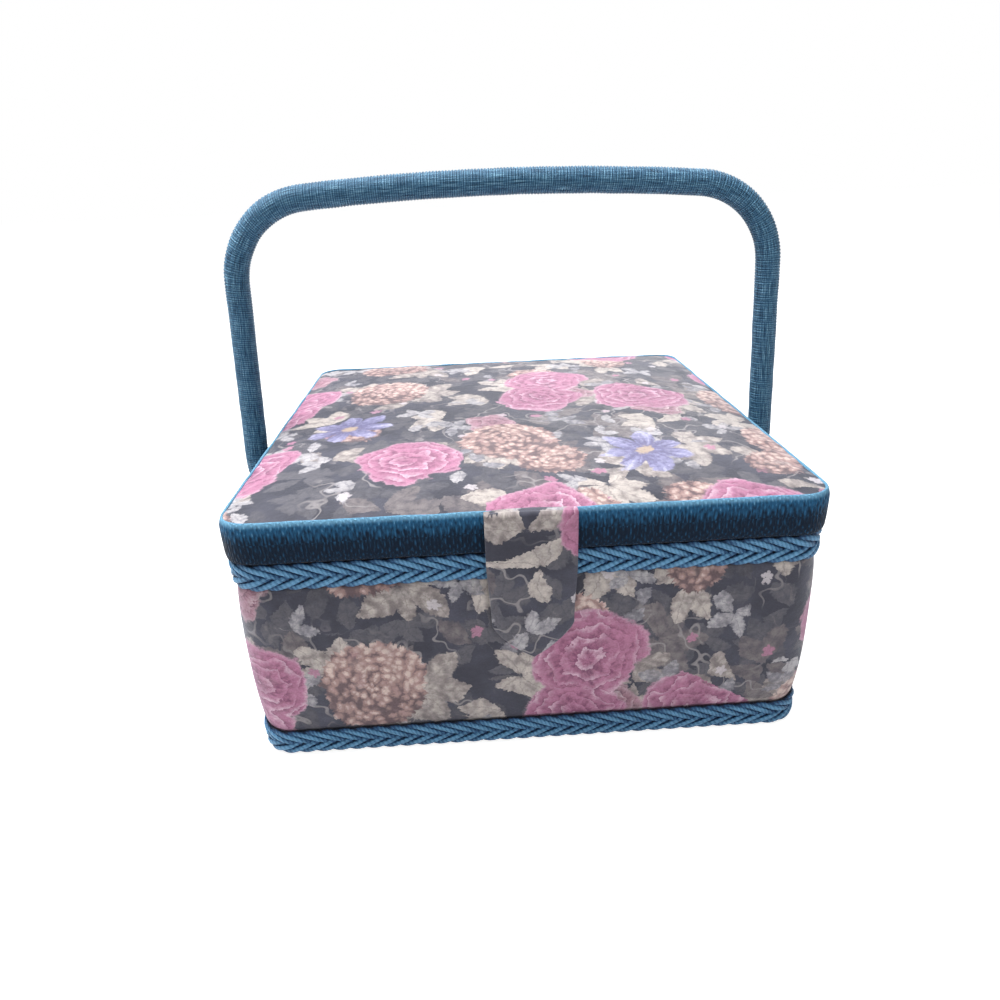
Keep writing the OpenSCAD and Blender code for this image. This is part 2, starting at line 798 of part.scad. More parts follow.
module tab_outline(inset, top) {
    w = tab_w / 2 - inset;
    shoulder = [w - tab_taper, -tab_len + tab_point_h + inset / 2];
    tip = [0, -tab_len + inset * tip_inset];
    start = [w, -tab_len / 2];
    left_shoulder = [-shoulder.x, shoulder.y];
    left_start = [-start.x, start.y];
    polygon(concat([[w, top], start],
        round_corner(start, shoulder, tip, tab_shoulder_r),
        round_corner(shoulder, tip, left_shoulder, tab_tip_r),
        round_corner(tip, left_shoulder, left_start, tab_shoulder_r),
        [left_start, [-w, top]]));
}

// Sheet of the tab from y0 to y1
module tab_sheet(y0, y1, inset = 0, top = 0) {
    translate([0, y1, fold_z]) rotate([90, 0, 0]) linear_extrude(y1 - y0) tab_outline(inset, top);
}

module tab_face_cloth() {
    front = tab_back_y - tab_t;
    color("#5b5661") difference() {
        union() {
            tab_sheet(front, tab_back_y - tab_cloth_t);
            bar_x(-tab_w / 2, tab_w / 2, fold_r, fold_y, fold_z);
        }
        tab_sheet(front + tab_cloth_t, tab_back_y, tab_edge, -2 * fold_r);
        translate([-tab_w, tab_back_y - tab_cloth_t, fold_z - 2 * fold_r])
            cube([2 * tab_w, 2 * fold_r, fold_r]);
    }
}

module tab_back_cloth() {
    color("#4d4955") tab_sheet(tab_back_y - tab_cloth_t, tab_back_y, 0, -fold_r);
}

core_play = 0.1;

module tab_stiffener() {
    y1 = tab_back_y - tab_cloth_t;
    color("#c9b48e") difference() {
        tab_sheet(y1 - tab_core_t, y1, tab_edge + core_play, -2 * fold_r - core_play);
        bar_y(y1 - tab_core_t - cut, y1 + cut, magnet_d / 2 + core_play / 2, 0, keeper_z);
    }
}

module tab_magnet() {
    y1 = tab_back_y - tab_cloth_t;
    color("#74777c") bar_y(y1 - tab_core_t, y1, magnet_d / 2, 0, keeper_z);
}

// The tab's sewn end, caught between the lid's cover and its band
module tab_root() {
    root_y = -lid_y + band_t;
    color("#5b5661") translate([-tab_w / 2, fold_y + fold_r + tab_play, lid_top])
        cube([tab_w, root_y - fold_y - fold_r - tab_play, tab_root_t]);
}

base_cloth();
base_board();
wall_board();
outer_cover();
rim_braid();
base_braid();
lining_front();
lining_back();
lining_left();
lining_right();
base_lining();
closure_keeper();
lower_hinge_leaves();
hinge_pins();
lower_hinge_screws();
handle_bolts();
bolt_washers();
dome_nuts();
tray();
lid_rim_board();
lid_board();
lid_band();
lid_foam();
lid_cover();
lid_lining();
lid_rim_lining();
lid_pocket();
pocket_elastic();
pincushion();
upper_hinge_leaves();
upper_hinge_screws();
tab_root();
tab_face_cloth();
tab_back_cloth();
tab_stiffener();
tab_magnet();
handle_spacers();
handle_rod();
handle_winding();
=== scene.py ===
# %% [markdown]
# # A cloth-covered sewing box with a wound handle
#
# The object is a square box of bent fibreboard that is dressed in printed cotton. A padded lid
# with a woven band turns on two hinges at the back, a cloth tab closes it in front, and a steel
# bow wound with cord carries it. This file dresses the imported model: what is hard keeps its
# solid and gets a finish, and what is cloth, braid or cord is modelled again as a surface
# that is worked out with numpy.

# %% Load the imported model
import bpy
import numpy as np
from mathutils import Matrix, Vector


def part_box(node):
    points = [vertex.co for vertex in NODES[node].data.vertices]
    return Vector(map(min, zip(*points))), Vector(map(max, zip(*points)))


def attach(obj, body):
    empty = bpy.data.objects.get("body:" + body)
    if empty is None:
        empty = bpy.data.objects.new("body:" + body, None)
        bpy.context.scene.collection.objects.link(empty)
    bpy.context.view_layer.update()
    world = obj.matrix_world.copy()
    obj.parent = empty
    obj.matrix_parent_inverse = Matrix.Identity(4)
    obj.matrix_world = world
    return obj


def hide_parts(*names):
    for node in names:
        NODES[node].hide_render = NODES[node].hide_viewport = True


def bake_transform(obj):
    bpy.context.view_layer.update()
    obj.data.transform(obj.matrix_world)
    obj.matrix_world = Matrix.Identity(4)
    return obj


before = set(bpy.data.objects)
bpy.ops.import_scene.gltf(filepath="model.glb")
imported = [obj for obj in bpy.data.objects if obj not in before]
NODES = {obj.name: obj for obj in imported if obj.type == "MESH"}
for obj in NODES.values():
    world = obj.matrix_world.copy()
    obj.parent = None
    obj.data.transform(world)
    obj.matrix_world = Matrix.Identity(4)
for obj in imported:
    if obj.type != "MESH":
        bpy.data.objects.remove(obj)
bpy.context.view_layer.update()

MM = 0.001

# %% [markdown]
# ## The camera first
#
# The photograph looks down on the front of the box from a little to the left. The camera's place
# and turn come from fitting the box's own edges, so they are written as a position in metres and
# three angles. A level camera that looks along +Y is turned by its yaw, pitch and roll.
# A Track To constraint could aim it at the box instead, but it has no roll, and the photograph
# is slightly tilted.

# %% Camera
CAMERA_PLACE = (-0.0173, -0.3130, 0.1975)
CAMERA_YAW = 2.04
CAMERA_PITCH = 24.47
CAMERA_ROLL = -2.18
FOCAL_PIXELS = 705.9
IMAGE_PIXELS = 1000
SENSOR_WIDTH = 36.0


def add(name, data):
    """Object for a mesh, a lamp or a camera, linked to the scene."""
    item = bpy.data.objects.new(name, data)
    bpy.context.scene.collection.objects.link(item)
    return item


def photo_camera():
    """Camera at the photograph's place: rolled about its own axis, pitched down and yawed to the right."""
    data = bpy.data.cameras.new("photo_camera")
    data.sensor_width = SENSOR_WIDTH
    data.lens = FOCAL_PIXELS / IMAGE_PIXELS * SENSOR_WIDTH
    data.clip_start = 0.01
    camera = add("photo_camera", data)
    turn = Matrix.Rotation(-np.radians(CAMERA_YAW), 4, "Z")
    tilt = Matrix.Rotation(np.radians(90 - CAMERA_PITCH), 4, "X")
    roll = Matrix.Rotation(np.radians(CAMERA_ROLL), 4, "Z")
    camera.matrix_world = Matrix.Translation(CAMERA_PLACE) @ turn @ tilt @ roll
    bpy.context.scene.camera = camera
    return camera


camera = photo_camera()
print("lens", round(camera.data.lens, 2), "mm")

# %% [markdown]
# ## Meshes from arrays
#
# Each piece here is a surface over two parameters. The points are computed as whole arrays, and a
# few helpers turn a grid of points into quads, close its seams and give it a UV map in metres, so
# that a woven or printed pattern keeps its real scale on every piece.
# Blender's primitives and modifiers could make most pieces too. Arrays were chosen because each
# shape is then one formula that can be read and changed.

# %% Mesh helpers


def mesh_of(name, points, faces, corner_uv=None):
    """Mesh from points (n, 3) and face arrays (k, sides), with a UV pair for each face corner if given."""
    points = np.asarray(points, np.float32).reshape(-1, 3)
    sides = np.concatenate([np.full(len(f), f.shape[1]) for f in faces])
    corners = np.concatenate([f.ravel() for f in faces]).astype(np.int32)
    mesh = bpy.data.meshes.new(name)
    mesh.vertices.add(len(points))
    mesh.vertices.foreach_set("co", points.ravel())
    mesh.loops.add(len(corners))
    mesh.loops.foreach_set("vertex_index", corners)
    mesh.polygons.add(len(sides))
    mesh.polygons.foreach_set("loop_start", (np.cumsum(sides) - sides).astype(np.int32))
    mesh.update(calc_edges=True)
    mesh.polygons.foreach_set("use_smooth", np.ones(len(sides), bool))
    if corner_uv is not None:
        layer = mesh.uv_layers.new(name="cloth")
        layer.data.foreach_set("uv", np.asarray(corner_uv, np.float32).ravel())
    return mesh


def pairs(a, b):
    """All pairs of two rows of numbers, as a grid (nu, nv, 2)."""
    return np.stack(np.meshgrid(a, b, indexing="ij"), -1)


def full_turn(count):
    """Angles at even steps round a full turn."""
    return np.linspace(0, 2 * np.pi, count, endpoint=False)


def mark(mesh, name, values):
    """Write one number to each point of a mesh, for a finish to read."""
    layer = mesh.attributes.new(name, "FLOAT", "POINT")
    layer.data.foreach_set("value", np.asarray(values, np.float32).ravel())


def grid_cells(nu, nv, wrap_u=False, wrap_v=False):
    """Quads of an nu by nv grid, and for each corner its place in the unwrapped grid."""
    i, j = np.meshgrid(np.arange(nu - 1 + wrap_u), np.arange(nv - 1 + wrap_v), indexing="ij")
    ci = np.stack([i, i + 1, i + 1, i], -1).reshape(-1, 4)
    cj = np.stack([j, j, j + 1, j + 1], -1).reshape(-1, 4)
    return (ci % nu) * nv + cj % nv, ci, cj


def grid_mesh(name, points, uv, wrap_u=False, wrap_v=False, caps=()):
    """Mesh over a grid (nu, nv, 3). uv has one more row or column where the grid wraps.

    caps holds (row, flip) pairs: each closes that row of a tube with a fan round its middle."""
    nu, nv = points.shape[:2]
    quads, ci, cj = grid_cells(nu, nv, wrap_u, wrap_v)
    faces = [quads]
    corner_uv = [uv[ci, cj].reshape(-1, 2)]
    rows = points.reshape(-1, 3)
    for row, flip in caps:
        ring = row * nv + np.arange(nv)
        centre = np.full(nv, len(rows))
        rows = np.vstack([rows, rows[ring].mean(0)])
        order = [ring, centre, np.roll(ring, -1)] if flip else [ring, np.roll(ring, -1), centre]
        faces.append(np.stack(order, -1))
        corner_uv.append(np.zeros((3 * nv, 2)) + uv[row, 0])
    return mesh_of(name, rows, faces, np.concatenate(corner_uv))


def show(mesh, body, material, stands_for=()):
    """Object at the origin for a finished mesh, with its finish and body, and the nodes it replaces
    hidden.
    """
    piece = add(mesh.name, mesh)
    mesh.materials.append(material)
    if body:
        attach(piece, body)
    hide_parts(*stands_for)
    print("piece", piece.name, len(mesh.polygons), "faces")
    return piece


def ripples(x, y, length, seed, waves=9):
    """Soft unevenness of about that wavelength: the mean of sines that run in random directions."""
    draw = np.random.default_rng(seed)
    total = np.zeros(np.broadcast(x, y).shape)
    for _ in range(waves):
        angle, phase = draw.uniform(0, 2 * np.pi, 2)
        k = 2 * np.pi / length * draw.uniform(0.6, 1.5)
        total += np.sin(k * (x * np.cos(angle) + y * np.sin(angle)) + phase)
    return total / waves ** 0.5


def between(x, low, high):
    """0 below low, 1 above high and a smooth step between them: t * t * (3 - 2 * t)."""
    t = np.clip((x - low) / (high - low), 0, 1)
    return t * t * (3 - 2 * t)


def oval(angle, wide_power, tall_power):
    """Unit superellipse: cos and sin of the angle, each with its sign kept and its size to a power."""
    wide = np.sign(np.cos(angle)) * np.abs(np.cos(angle)) ** wide_power
    return wide, np.sign(np.sin(angle)) * np.abs(np.sin(angle)) ** tall_power


# %% [markdown]
# ## Going round the box
#
# Band, braid, cover and rim lining all run round the same rounded square. One function walks round
# it at an even pace and says where each step is and which way is out, and a second one carries a
# cross-section along it, as a piece of trim is carried round the real box.
# A bevelled curve could do the same, but its map isn't in metres, and a weave needs that.

# %% Rounded square
ARC_STEPS = 40


def around(half_x, half_y, radius, count):
    """Steps round a rounded rectangle from the middle of the front, anticlockwise from above.

    Returns points (count + 1, 2), outward directions and the distance walked. Each corner is an arc
    from one side's direction to the next, and the sides are the straight lines between the arcs."""
    angle = np.radians(-90 + 90 * np.arange(4)[:, None] + np.linspace(0, 90, ARC_STEPS))
    sx = np.array([1, 1, -1, -1])[:, None]
    sy = np.array([-1, 1, 1, -1])[:, None]
    x = (sx * (half_x - radius) + radius * np.cos(angle)).ravel()
    y = (sy * (half_y - radius) + radius * np.sin(angle)).ravel()
    x = np.concatenate([[0], x, [0]])
    y = np.concatenate([[-half_y], y, [-half_y]])
    nx = np.concatenate([[0], np.cos(angle).ravel(), [0]])
    ny = np.concatenate([[-1], np.sin(angle).ravel(), [-1]])
    walked = np.concatenate([[0], np.cumsum(np.hypot(np.diff(x), np.diff(y)))])
    s = np.linspace(0, walked[-1], count + 1)
    place = np.stack([np.interp(s, walked, x), np.interp(s, walked, y)], -1)
    out = np.stack([np.interp(s, walked, nx), np.interp(s, walked, ny)], -1)
    return place, out / np.linalg.norm(out, axis=1, keepdims=True), s


def trim_mesh(name, loop, offset, height, v_length):
    """Closed ring of trim: offset outwards and height are (steps, profile) arrays on the loop."""
    place, out, s = loop
    flat = place[:-1, None] + out[:-1, None] * offset[..., None]
    points = np.concatenate([flat, height[..., None]], -1)
    profile = offset.shape[1]
    uv = pairs(s, np.linspace(0, v_length, profile + 1))
    return grid_mesh(name, points, uv, wrap_u=True, wrap_v=True)


COVER_LOW, COVER_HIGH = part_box("outer_cover")
BAND_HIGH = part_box("lid_band")[1]
BOX_HALF = COVER_HIGH.x
BOX_CORNER = 11 * MM
LID_HALF = BAND_HIGH.x
LID_CORNER = 12 * MM
print("box", round(2 * BOX_HALF, 4), "lid", round(2 * LID_HALF, 4))

# %% [markdown]
# ## Writing a finish as a formula
#
# A printed cloth needs long formulas: petals are cosines of an angle, leaves are an ellipse round
# a vein. Such nodes could be made and joined one at a time, which takes many lines for each sign.
# The small class below stands for one value in a node tree instead, so that a formula is written
# with ordinary signs and still ends up as nodes that anyone can open and change.

# %% Values in a node tree


def shade(r, g, b):
    """Linear colour of the screen values 0 to 255: ((c + 0.055) / 1.055) to the power 2.4."""
    c = np.array([r, g, b]) / 255
    return (*np.where(c <= 0.04045, c / 12.92, ((c + 0.055) / 1.055) ** 2.4), 1.0)


def plug(tree, item, slot):
    """Give a node's input a value, a socket, a plain number or a colour."""
    item = getattr(item, "socket", item)
    if isinstance(item, bpy.types.NodeSocket):
        tree.links.new(item, slot)
    else:
        slot.default_value = item


def add_node(tree, kind, inputs, **settings):
    """Node with its settings, and its inputs given by name or by number."""
    made = tree.nodes.new(kind)
    for key, value in settings.items():
        setattr(made, key, value)
    for key, item in inputs.items():
        plug(tree, item, made.inputs[key])
    return made


class Value:
    """One number or vector in a node tree, which can be added, multiplied and so on."""

    def __init__(self, tree, socket):
        self.tree = tree
        self.socket = socket

    def step(self, operation, *others):
        """Math node with this value and the others."""
        inputs = dict(enumerate((self, *others)))
        made = add_node(self.tree, "ShaderNodeMath", inputs, operation=operation)
        return Value(self.tree, made.outputs[0])

    def __rsub__(self, other):
        return (self * -1) + other

    def rise(self, low, high):
        """0 below low, 1 above high, smooth between them. low may be the larger one."""
        inputs = {"Value": self, "From Min": min(low, high), "From Max": max(low, high),
                  "To Min": float(low > high), "To Max": float(low <= high)}
        made = add_node(self.tree, "ShaderNodeMapRange", inputs, interpolation_type="SMOOTHSTEP")
        return Value(self.tree, made.outputs["Result"])


# Each sign or word below becomes a method that adds the math node with that operation. part is what
# is left above the whole number below.
OPERATIONS = {
    "__add__": "ADD", "__radd__": "ADD", "__sub__": "SUBTRACT", "__mul__": "MULTIPLY",
    "__rmul__": "MULTIPLY", "__truediv__": "DIVIDE", "cos": "COSINE", "sin": "SINE",
    "size": "ABSOLUTE", "power": "POWER", "part": "FRACT", "floor": "FLOOR",
    "least": "MINIMUM", "most": "MAXIMUM",
}
for word, operation in OPERATIONS.items():
    setattr(Value, word, lambda self, *others, kind=operation: self.step(kind, *others))


# %% [markdown]
# A finish is a material with the place that its pattern is read at: the object's own coordinates
# for what is hard, and the piece's map for cloth and cord, so that the pattern bends with them.

# %% A finish in the making


class Finish:
    """A material in the making: its shader, its pattern coordinates and the nodes that fill them."""

    def __init__(self, name, coordinates="object"):
        self.material = bpy.data.materials.new(name)
        self.material.use_nodes = True
        self.tree = self.material.node_tree
        self.shader = self.tree.nodes["Principled BSDF"]
        if coordinates == "object":
            self.place = self.node("ShaderNodeTexCoord").outputs["Object"]
        else:
            self.place = self.node("ShaderNodeUVMap", uv_map=coordinates).outputs["UV"]
        self.finest = None

    def node(self, kind, inputs=(), **settings):
        """New node in this finish's tree."""
        return add_node(self.tree, kind, dict(inputs), **settings)

    def split(self, socket, kind="XYZ"):
        """The three parts of a vector or a colour, as values."""
        made = self.node("ShaderNodeSeparate" + kind, {0: socket})
        return [Value(self.tree, out) for out in made.outputs]

    def vector(self, x, y, z=0.0):
        """Vector of three values or numbers."""
        return self.node("ShaderNodeCombineXYZ", {0: x, 1: y, 2: z}).outputs[0]

    def noise(self, scale, detail=3.0, at=None, rough=0.55):
        """Noise value at a place, with that many lumps to the metre."""
        inputs = {"Scale": scale, "Detail": detail, "Roughness": rough, "Vector": at or self.place}
        return Value(self.tree, self.node("ShaderNodeTexNoise", inputs).outputs[0])

    def cells(self, at, **settings):
        """Cell pattern, whose cells are one unit apart."""
        return self.node("ShaderNodeTexVoronoi", {"Scale": 1.0, "Vector": at}, **settings)

    def painted(self, attribute):
        """The number that mark wrote to the points."""
        made = self.node("ShaderNodeAttribute", attribute_name=attribute)
        return Value(self.tree, made.outputs["Fac"])

    def mix(self, share, a, b):
        """Colour a where share is 0 and b where it is 1. Both may be colours or sockets."""
        return self.node("ShaderNodeMix", {0: share, 6: a, 7: b}, data_type="RGBA").outputs[2]

    def scaled(self, colour, amount):
        """Colour times a value."""
        inputs = {0: colour, "Scale": amount}
        return self.node("ShaderNodeVectorMath", inputs, operation="SCALE").outputs[0]

    def relief(self, height, depth):
        """Bump of that depth in metres, where height goes from 0 to 1. Calls add up."""
        below = {"Normal": self.finest} if self.finest else {}
        made = self.node("ShaderNodeBump", {"Distance": depth, "Height": height, **below})
        self.finest = made.outputs[0]
        self.set(Normal=self.finest)

    def set(self, **inputs):
        """Numbers, values or sockets for the shader's own inputs."""
        for key, item in inputs.items():
            plug(self.tree, item, self.shader.inputs[key.replace("_", " ")])
        return self


# %% [markdown]
# ## The printed cotton
#
# The cloth is a dense garden print: pink roses and carnations, peach chrysanthemums, lilac daisies
# and cream leaves on a charcoal ground. An image would be the usual way. Here each kind of flower
# is a formula in the polar coordinates of its own cell, and a cell pattern scatters them, so the
# print is sharp at any distance, has no owner and never repeats. The layers lie on each other from the
# ground up, as the printer's screens do.

# %% Flowers in polar coordinates
GROUND = shade(72, 72, 87)
GROUND_DEEP = shade(48, 48, 62)
ROSE = (shade(138, 78, 112), shade(188, 124, 156), shade(226, 194, 212))
BLUSH = (shade(118, 78, 96), shade(176, 132, 148), shade(218, 198, 204))
# Leaf layers: pitch, shift and spread of the cells, length and number of the leaves, the least chance
# that a cell needs, the share of leaves left out, and the pale and the deep colour.
LEAF_LAYERS = [
    (21, 3.3, 0.75, 15, 6, -1.0, 0.3, shade(96, 94, 102), shade(72, 71, 82)),
    (33, 6.1, 0.75, 20, 7, 0.45, 0.5, shade(130, 122, 124), shade(88, 82, 90)),
    (34, 7.7, 0.9, 19, 7, 0.3, 0.36, shade(208, 198, 192), shade(134, 124, 124)),
    (19, 1.9, 0.95, 11, 5, 0.5, 0.45, shade(196, 192, 196), shade(124, 122, 132)),
]
TWIG = shade(162, 156, 158)
BUDS = (shade(214, 206, 212), shade(190, 132, 160))
TURN = 6.2832
TURN_MM = 6283
THREAD = 0.55


class Cell:
    """The nearest flower's middle: distance in millimetres, angle, and three random numbers."""

    def __init__(self, finish, across, up, pitch, shift, spread=0.75):
        x = across / pitch + shift
        y = up / pitch + 2 * shift
        made = finish.cells(finish.vector(x, y), voronoi_dimensions="2D")
        made.inputs["Randomness"].default_value = spread
        middle = finish.split(made.outputs["Position"])
        self.chance, self.turn, self.tone = finish.split(made.outputs["Color"], "Color")
        self.x = (x - middle[0]) * pitch
        self.y = (y - middle[1]) * pitch
        self.far = (self.x * self.x + self.y * self.y).power(0.5)
        self.angle = self.y.step("ARCTAN2", self.x) + self.turn * TURN

    def streaks(self, finish, count, stretch=0.05):
        """Noise drawn out from the middle: it is read on a circle, so it has no seam."""
        at = finish.vector(self.angle.cos() * count, self.angle.sin() * count, self.far * stretch)
        return finish.noise(1.0, 2.0, at)


def rows_of_petals(cell, spacing, lobes, scallop, blur):
    """Share of the way across a petal row.

    A row ends where distance + scallop |cos(lobes a + turn of the row)| is a multiple of spacing. The
    scallop grows with the distance, so the rows are round in the middle and ruffled outside."""
    first = ((cell.far + blur) / spacing).floor()
    lobe = (cell.angle * lobes + first * 2.4).cos().size()
    return ((cell.far + blur + lobe * (cell.far * 0.17).least(scallop)) / spacing).part()


# %% [markdown]
# The three flowers share one recipe: an edge that goes in and out with the angle, a light that
# grows outwards with streaks and grain in it, and two mixes of colour that follow the light.

# %% Peony, daisy and chrysanthemum


def peony(finish, cell, radius, colours, lobes=3.5):
    """Rows of broad petals, dark where a row comes out from under the one inside it, pale at its lip."""
    deep, middle, pale = colours
    blur = (finish.noise(85, 3.0) - 0.5) * 12
    share = rows_of_petals(cell, 5.2, lobes, 3.4, blur)
    edge = radius * (cell.tone * 0.25 + 0.8) + (cell.angle * 4).cos() * 1.3 + blur * 0.8
    mask = (edge - cell.far).rise(-0.4, 0.8)
    streak = cell.streaks(finish, 7) - 0.5
    grain = finish.noise(420, 3.0) - 0.5
    light = share * 0.5 + streak * 0.9 + grain * 0.8 + cell.far / radius * 0.26
    petal = finish.mix(light.rise(-0.05, 0.52), deep, middle)
    lip = (share + streak * 0.5 + grain * 0.6).rise(0.5, 1.1) * finish.noise(75).rise(0.38, 0.62)
    petal = finish.mix(lip, petal, pale)
    return mask, finish.mix((edge - cell.far).rise(1.8, 0.0) * 0.4, petal, pale)


def daisy(finish, cell, radius):
    """Seven broad petals: the edge is the radius times 0.48 + 0.52 |cos 3.5a|^0.7, streaked outwards."""
    lobe = (cell.angle * 3.5).cos().size()
    reach = (lobe.power(0.7) * 0.52 + 0.48) * radius * (cell.tone * 0.2 + 0.85)
    edge = reach + (finish.noise(75) - 0.5) * 14
    mask = (edge - cell.far).rise(-0.6, 1.0)
    grain = (finish.noise(420, 3.0) - 0.5) * 0.9
    light = cell.far / radius * 0.65 + grain + (cell.streaks(finish, 9) - 0.5) * 1.3 + lobe * 0.25
    petal = finish.mix(light.rise(0.25, 0.75), shade(106, 102, 144), shade(152, 150, 190))
    petal = finish.mix(light.rise(0.7, 1.15), petal, shade(206, 204, 232))
    heart = (cell.far + (finish.noise(500) - 0.5) * 5).rise(4.0, 2.4)
    return mask, finish.mix(heart, petal, shade(190, 168, 150))


def chrysanthemum(finish, cell, radius):
    """A dome of small petals: a 3-D cell pattern is wound round the middle, so they point outwards."""
    blur = (finish.noise(90, 2.0) - 0.5) * 5
    edge = radius * (cell.tone * 0.2 + 0.85) + blur + (cell.streaks(finish, 10, 0.0) - 0.5) * 7
    mask = (edge - cell.far).rise(-0.3, 0.6)
    count = (cell.far * 0.27).least(4.6) + 0.5
    at = finish.vector(cell.angle.cos() * count, cell.angle.sin() * count, (cell.far + blur * 0.4) / 3.3)
    tip = Value(finish.tree, finish.cells(at, feature="F1").outputs["Distance"])
    light = (0.9 - tip * 1.15) + (finish.noise(55) - 0.5) * 0.8 + (cell.y / radius) * 0.16
    petal = finish.mix(light.rise(-0.05, 0.38), shade(108, 88, 92), shade(178, 146, 142))
    return mask, finish.mix(light.rise(0.34, 0.78), petal, shade(226, 204, 196))


# %% [markdown]
# A leaf needs a tip, a vein and teeth. Folding the angle gives all the leaves of a stalk at once,
# where one cell for each leaf would scatter them without stalks.

# %% Leaves


def leaves(finish, cell, length, count, pale, deep, sparse):
    """Leaves round a stalk: the angle, bent with the distance, is folded into one leaf.

    Each leaf has its own length, drawn from a sine of its number, and some are left out. The width is
    a sine of the way along, with a toothed edge and a vein in the middle."""
    share = TURN / count
    curl = cell.angle + cell.far * ((cell.tone - 0.5) * 0.07)
    number = (curl / share).floor()
    own = ((number * 12.9 + cell.tone * 78.2).sin() * 437.6).part()
    folded = ((curl / share).part() - 0.5) * share
    reach = (own * 0.55 + 0.55) * length
    along = cell.far * folded.cos() / reach
    aside = (cell.far * folded.sin()).size()
    teeth = (along * 7 - aside * 0.35).part() * 0.16
    width = (along.most(0.0).least(1.0) * (TURN / 2)).sin().power(0.8) * (reach * 0.29) * (1.0 - teeth)
    mask = (width - aside).rise(-0.2, 0.5) * along.rise(0.02, 0.08) * own.rise(sparse, sparse + 0.01)
    ribs = (along * 24 - aside * 0.9).sin() * 0.12
    tone = aside / (length * 0.3) * 0.35 + ribs + finish.noise(260, 4.0) * 1.6 + cell.tone * 0.5 - 0.85
    body = finish.mix(tone.rise(-0.1, 0.8), pale, deep)
    return mask, finish.mix(aside.rise(0.4, 0.1) * 0.5, body, deep)


# %% [markdown]
# The layers: tonal leaves close to the ground's own colour, fine pale twigs, cream and grey leaves,
# small blossoms, middling flowers, and on top one large flower to a cell, whose kind is drawn by
# chance. Woven cotton also has threads, so a fine weave is pressed into the surface and a soft sheen
# lies on top of it.

# %% Printed cotton


def lay(finish, below, flower, amount):
    """Put one flower's colour over what lies below it, where its mask and its chance allow."""
    mask, colour = flower
    return finish.mix(mask * amount, below, colour)


def only(value, low, high=2.0):
    """1 where a cell's chance is in a range, and 0 elsewhere."""
    return value.step("GREATER_THAN", low) * value.step("LESS_THAN", high)


def lay_leaves(finish, below, x, y, layer, fade=1.0):
    """Lay one row of LEAF_LAYERS. fade is how much of the colour the ground lets through."""
    pitch, shift, spread, length, count, chance, sparse, pale, deep = layer
    cell = Cell(finish, x, y, pitch, shift, spread)
    return lay(finish, below, leaves(finish, cell, length, count, pale, deep, sparse),
               only(cell.chance, chance) * fade)


def unsteady(finish, way, broad, middle, fine):
    """A direction in millimetres with three sizes of unevenness, so no outline of the print is exact."""
    shift = (finish.noise(broad, 1.0) - 0.5) * 9
    shift = shift + (finish.noise(middle, 1.0) - 0.5) * 2.4 + (finish.noise(fine, 2.0) - 0.5) * 2.2
    return way * 1000 + shift


def garden_cotton():
    """The printed cloth on the UV map called cloth, which is in metres."""
    f = Finish("garden_cotton", "cloth")
    across, up, _ = f.split(f.place)
    x = unsteady(f, across, 28, 150, 750)
    y = unsteady(f, up, 31, 170, 790)
    below = f.mix(f.noise(45, 4.0).rise(0.35, 0.66), GROUND_DEEP, GROUND)
    for layer in LEAF_LAYERS[:2]:
        below = lay_leaves(f, below, x, y, layer)
    twig = (f.noise(52, 2.0) - 0.5).size().rise(0.016, 0.006) * f.noise(20).rise(0.45, 0.55)
    below = f.mix(twig * 0.7, below, TWIG)
    faded = f.noise(120, 3.0).rise(0.25, 0.5) * 0.4 + 0.6
    for layer in LEAF_LAYERS[2:]:
        below = lay_leaves(f, below, x, y, layer, faded)
    bud = Cell(f, x, y, 15, 5.1, 1.0)
    small = (bud.angle * 2.5).cos().size().power(0.5) * 1.4 + 1.2 - bud.far
    blossom = f.mix(bud.tone.rise(0.3, 0.6), *BUDS)
    below = f.mix(small.rise(-0.1, 0.5) * only(bud.chance, 0.66) * 0.85, below, blossom)
    mid = Cell(f, x, y, 41, 2.45, 0.9)
    below = lay(f, below, peony(f, mid, 11.5, BLUSH, 2.5), only(mid.chance, 0.0, 0.34) * faded)
    below = lay(f, below, chrysanthemum(f, mid, 12), only(mid.chance, 0.76) * faded)
    big = Cell(f, x, y, 56, 4.25, 0.7)
    kinds = [
        (daisy(f, big, 20), only(big.chance, -1.0, 0.19)),
        (chrysanthemum(f, big, 21.5), only(big.chance, 0.19, 0.44)),
        (peony(f, big, 22, ROSE), only(big.chance, 0.44, 0.88)),
    ]
    for flower, amount in kinds:
        below = lay(f, below, flower, amount * (faded * 0.5 + 0.5))
    wash = f.noise(210, 5.0) * 0.5 + f.noise(1500, 2.0) * 0.5 + 0.28
    threads = ((across * TURN_MM / THREAD).sin() * (up * TURN_MM / THREAD).sin()) * 0.5 + 0.5
    f.relief(threads, 0.06 * MM)
    f.relief(f.noise(380, 3.0), 0.25 * MM)
    printed = f.scaled(below, wash * (threads * 0.14 + 0.93))
    return f.set(Base_Color=printed, Roughness=0.6, Specular_IOR_Level=0.3, Sheen_Weight=0.2,
                 Sheen_Roughness=0.5, Sheen_Tint=(0.8, 0.86, 1.0, 1.0)).material


COTTON = garden_cotton()
print("printed cotton has", len(COTTON.node_tree.nodes), "nodes")
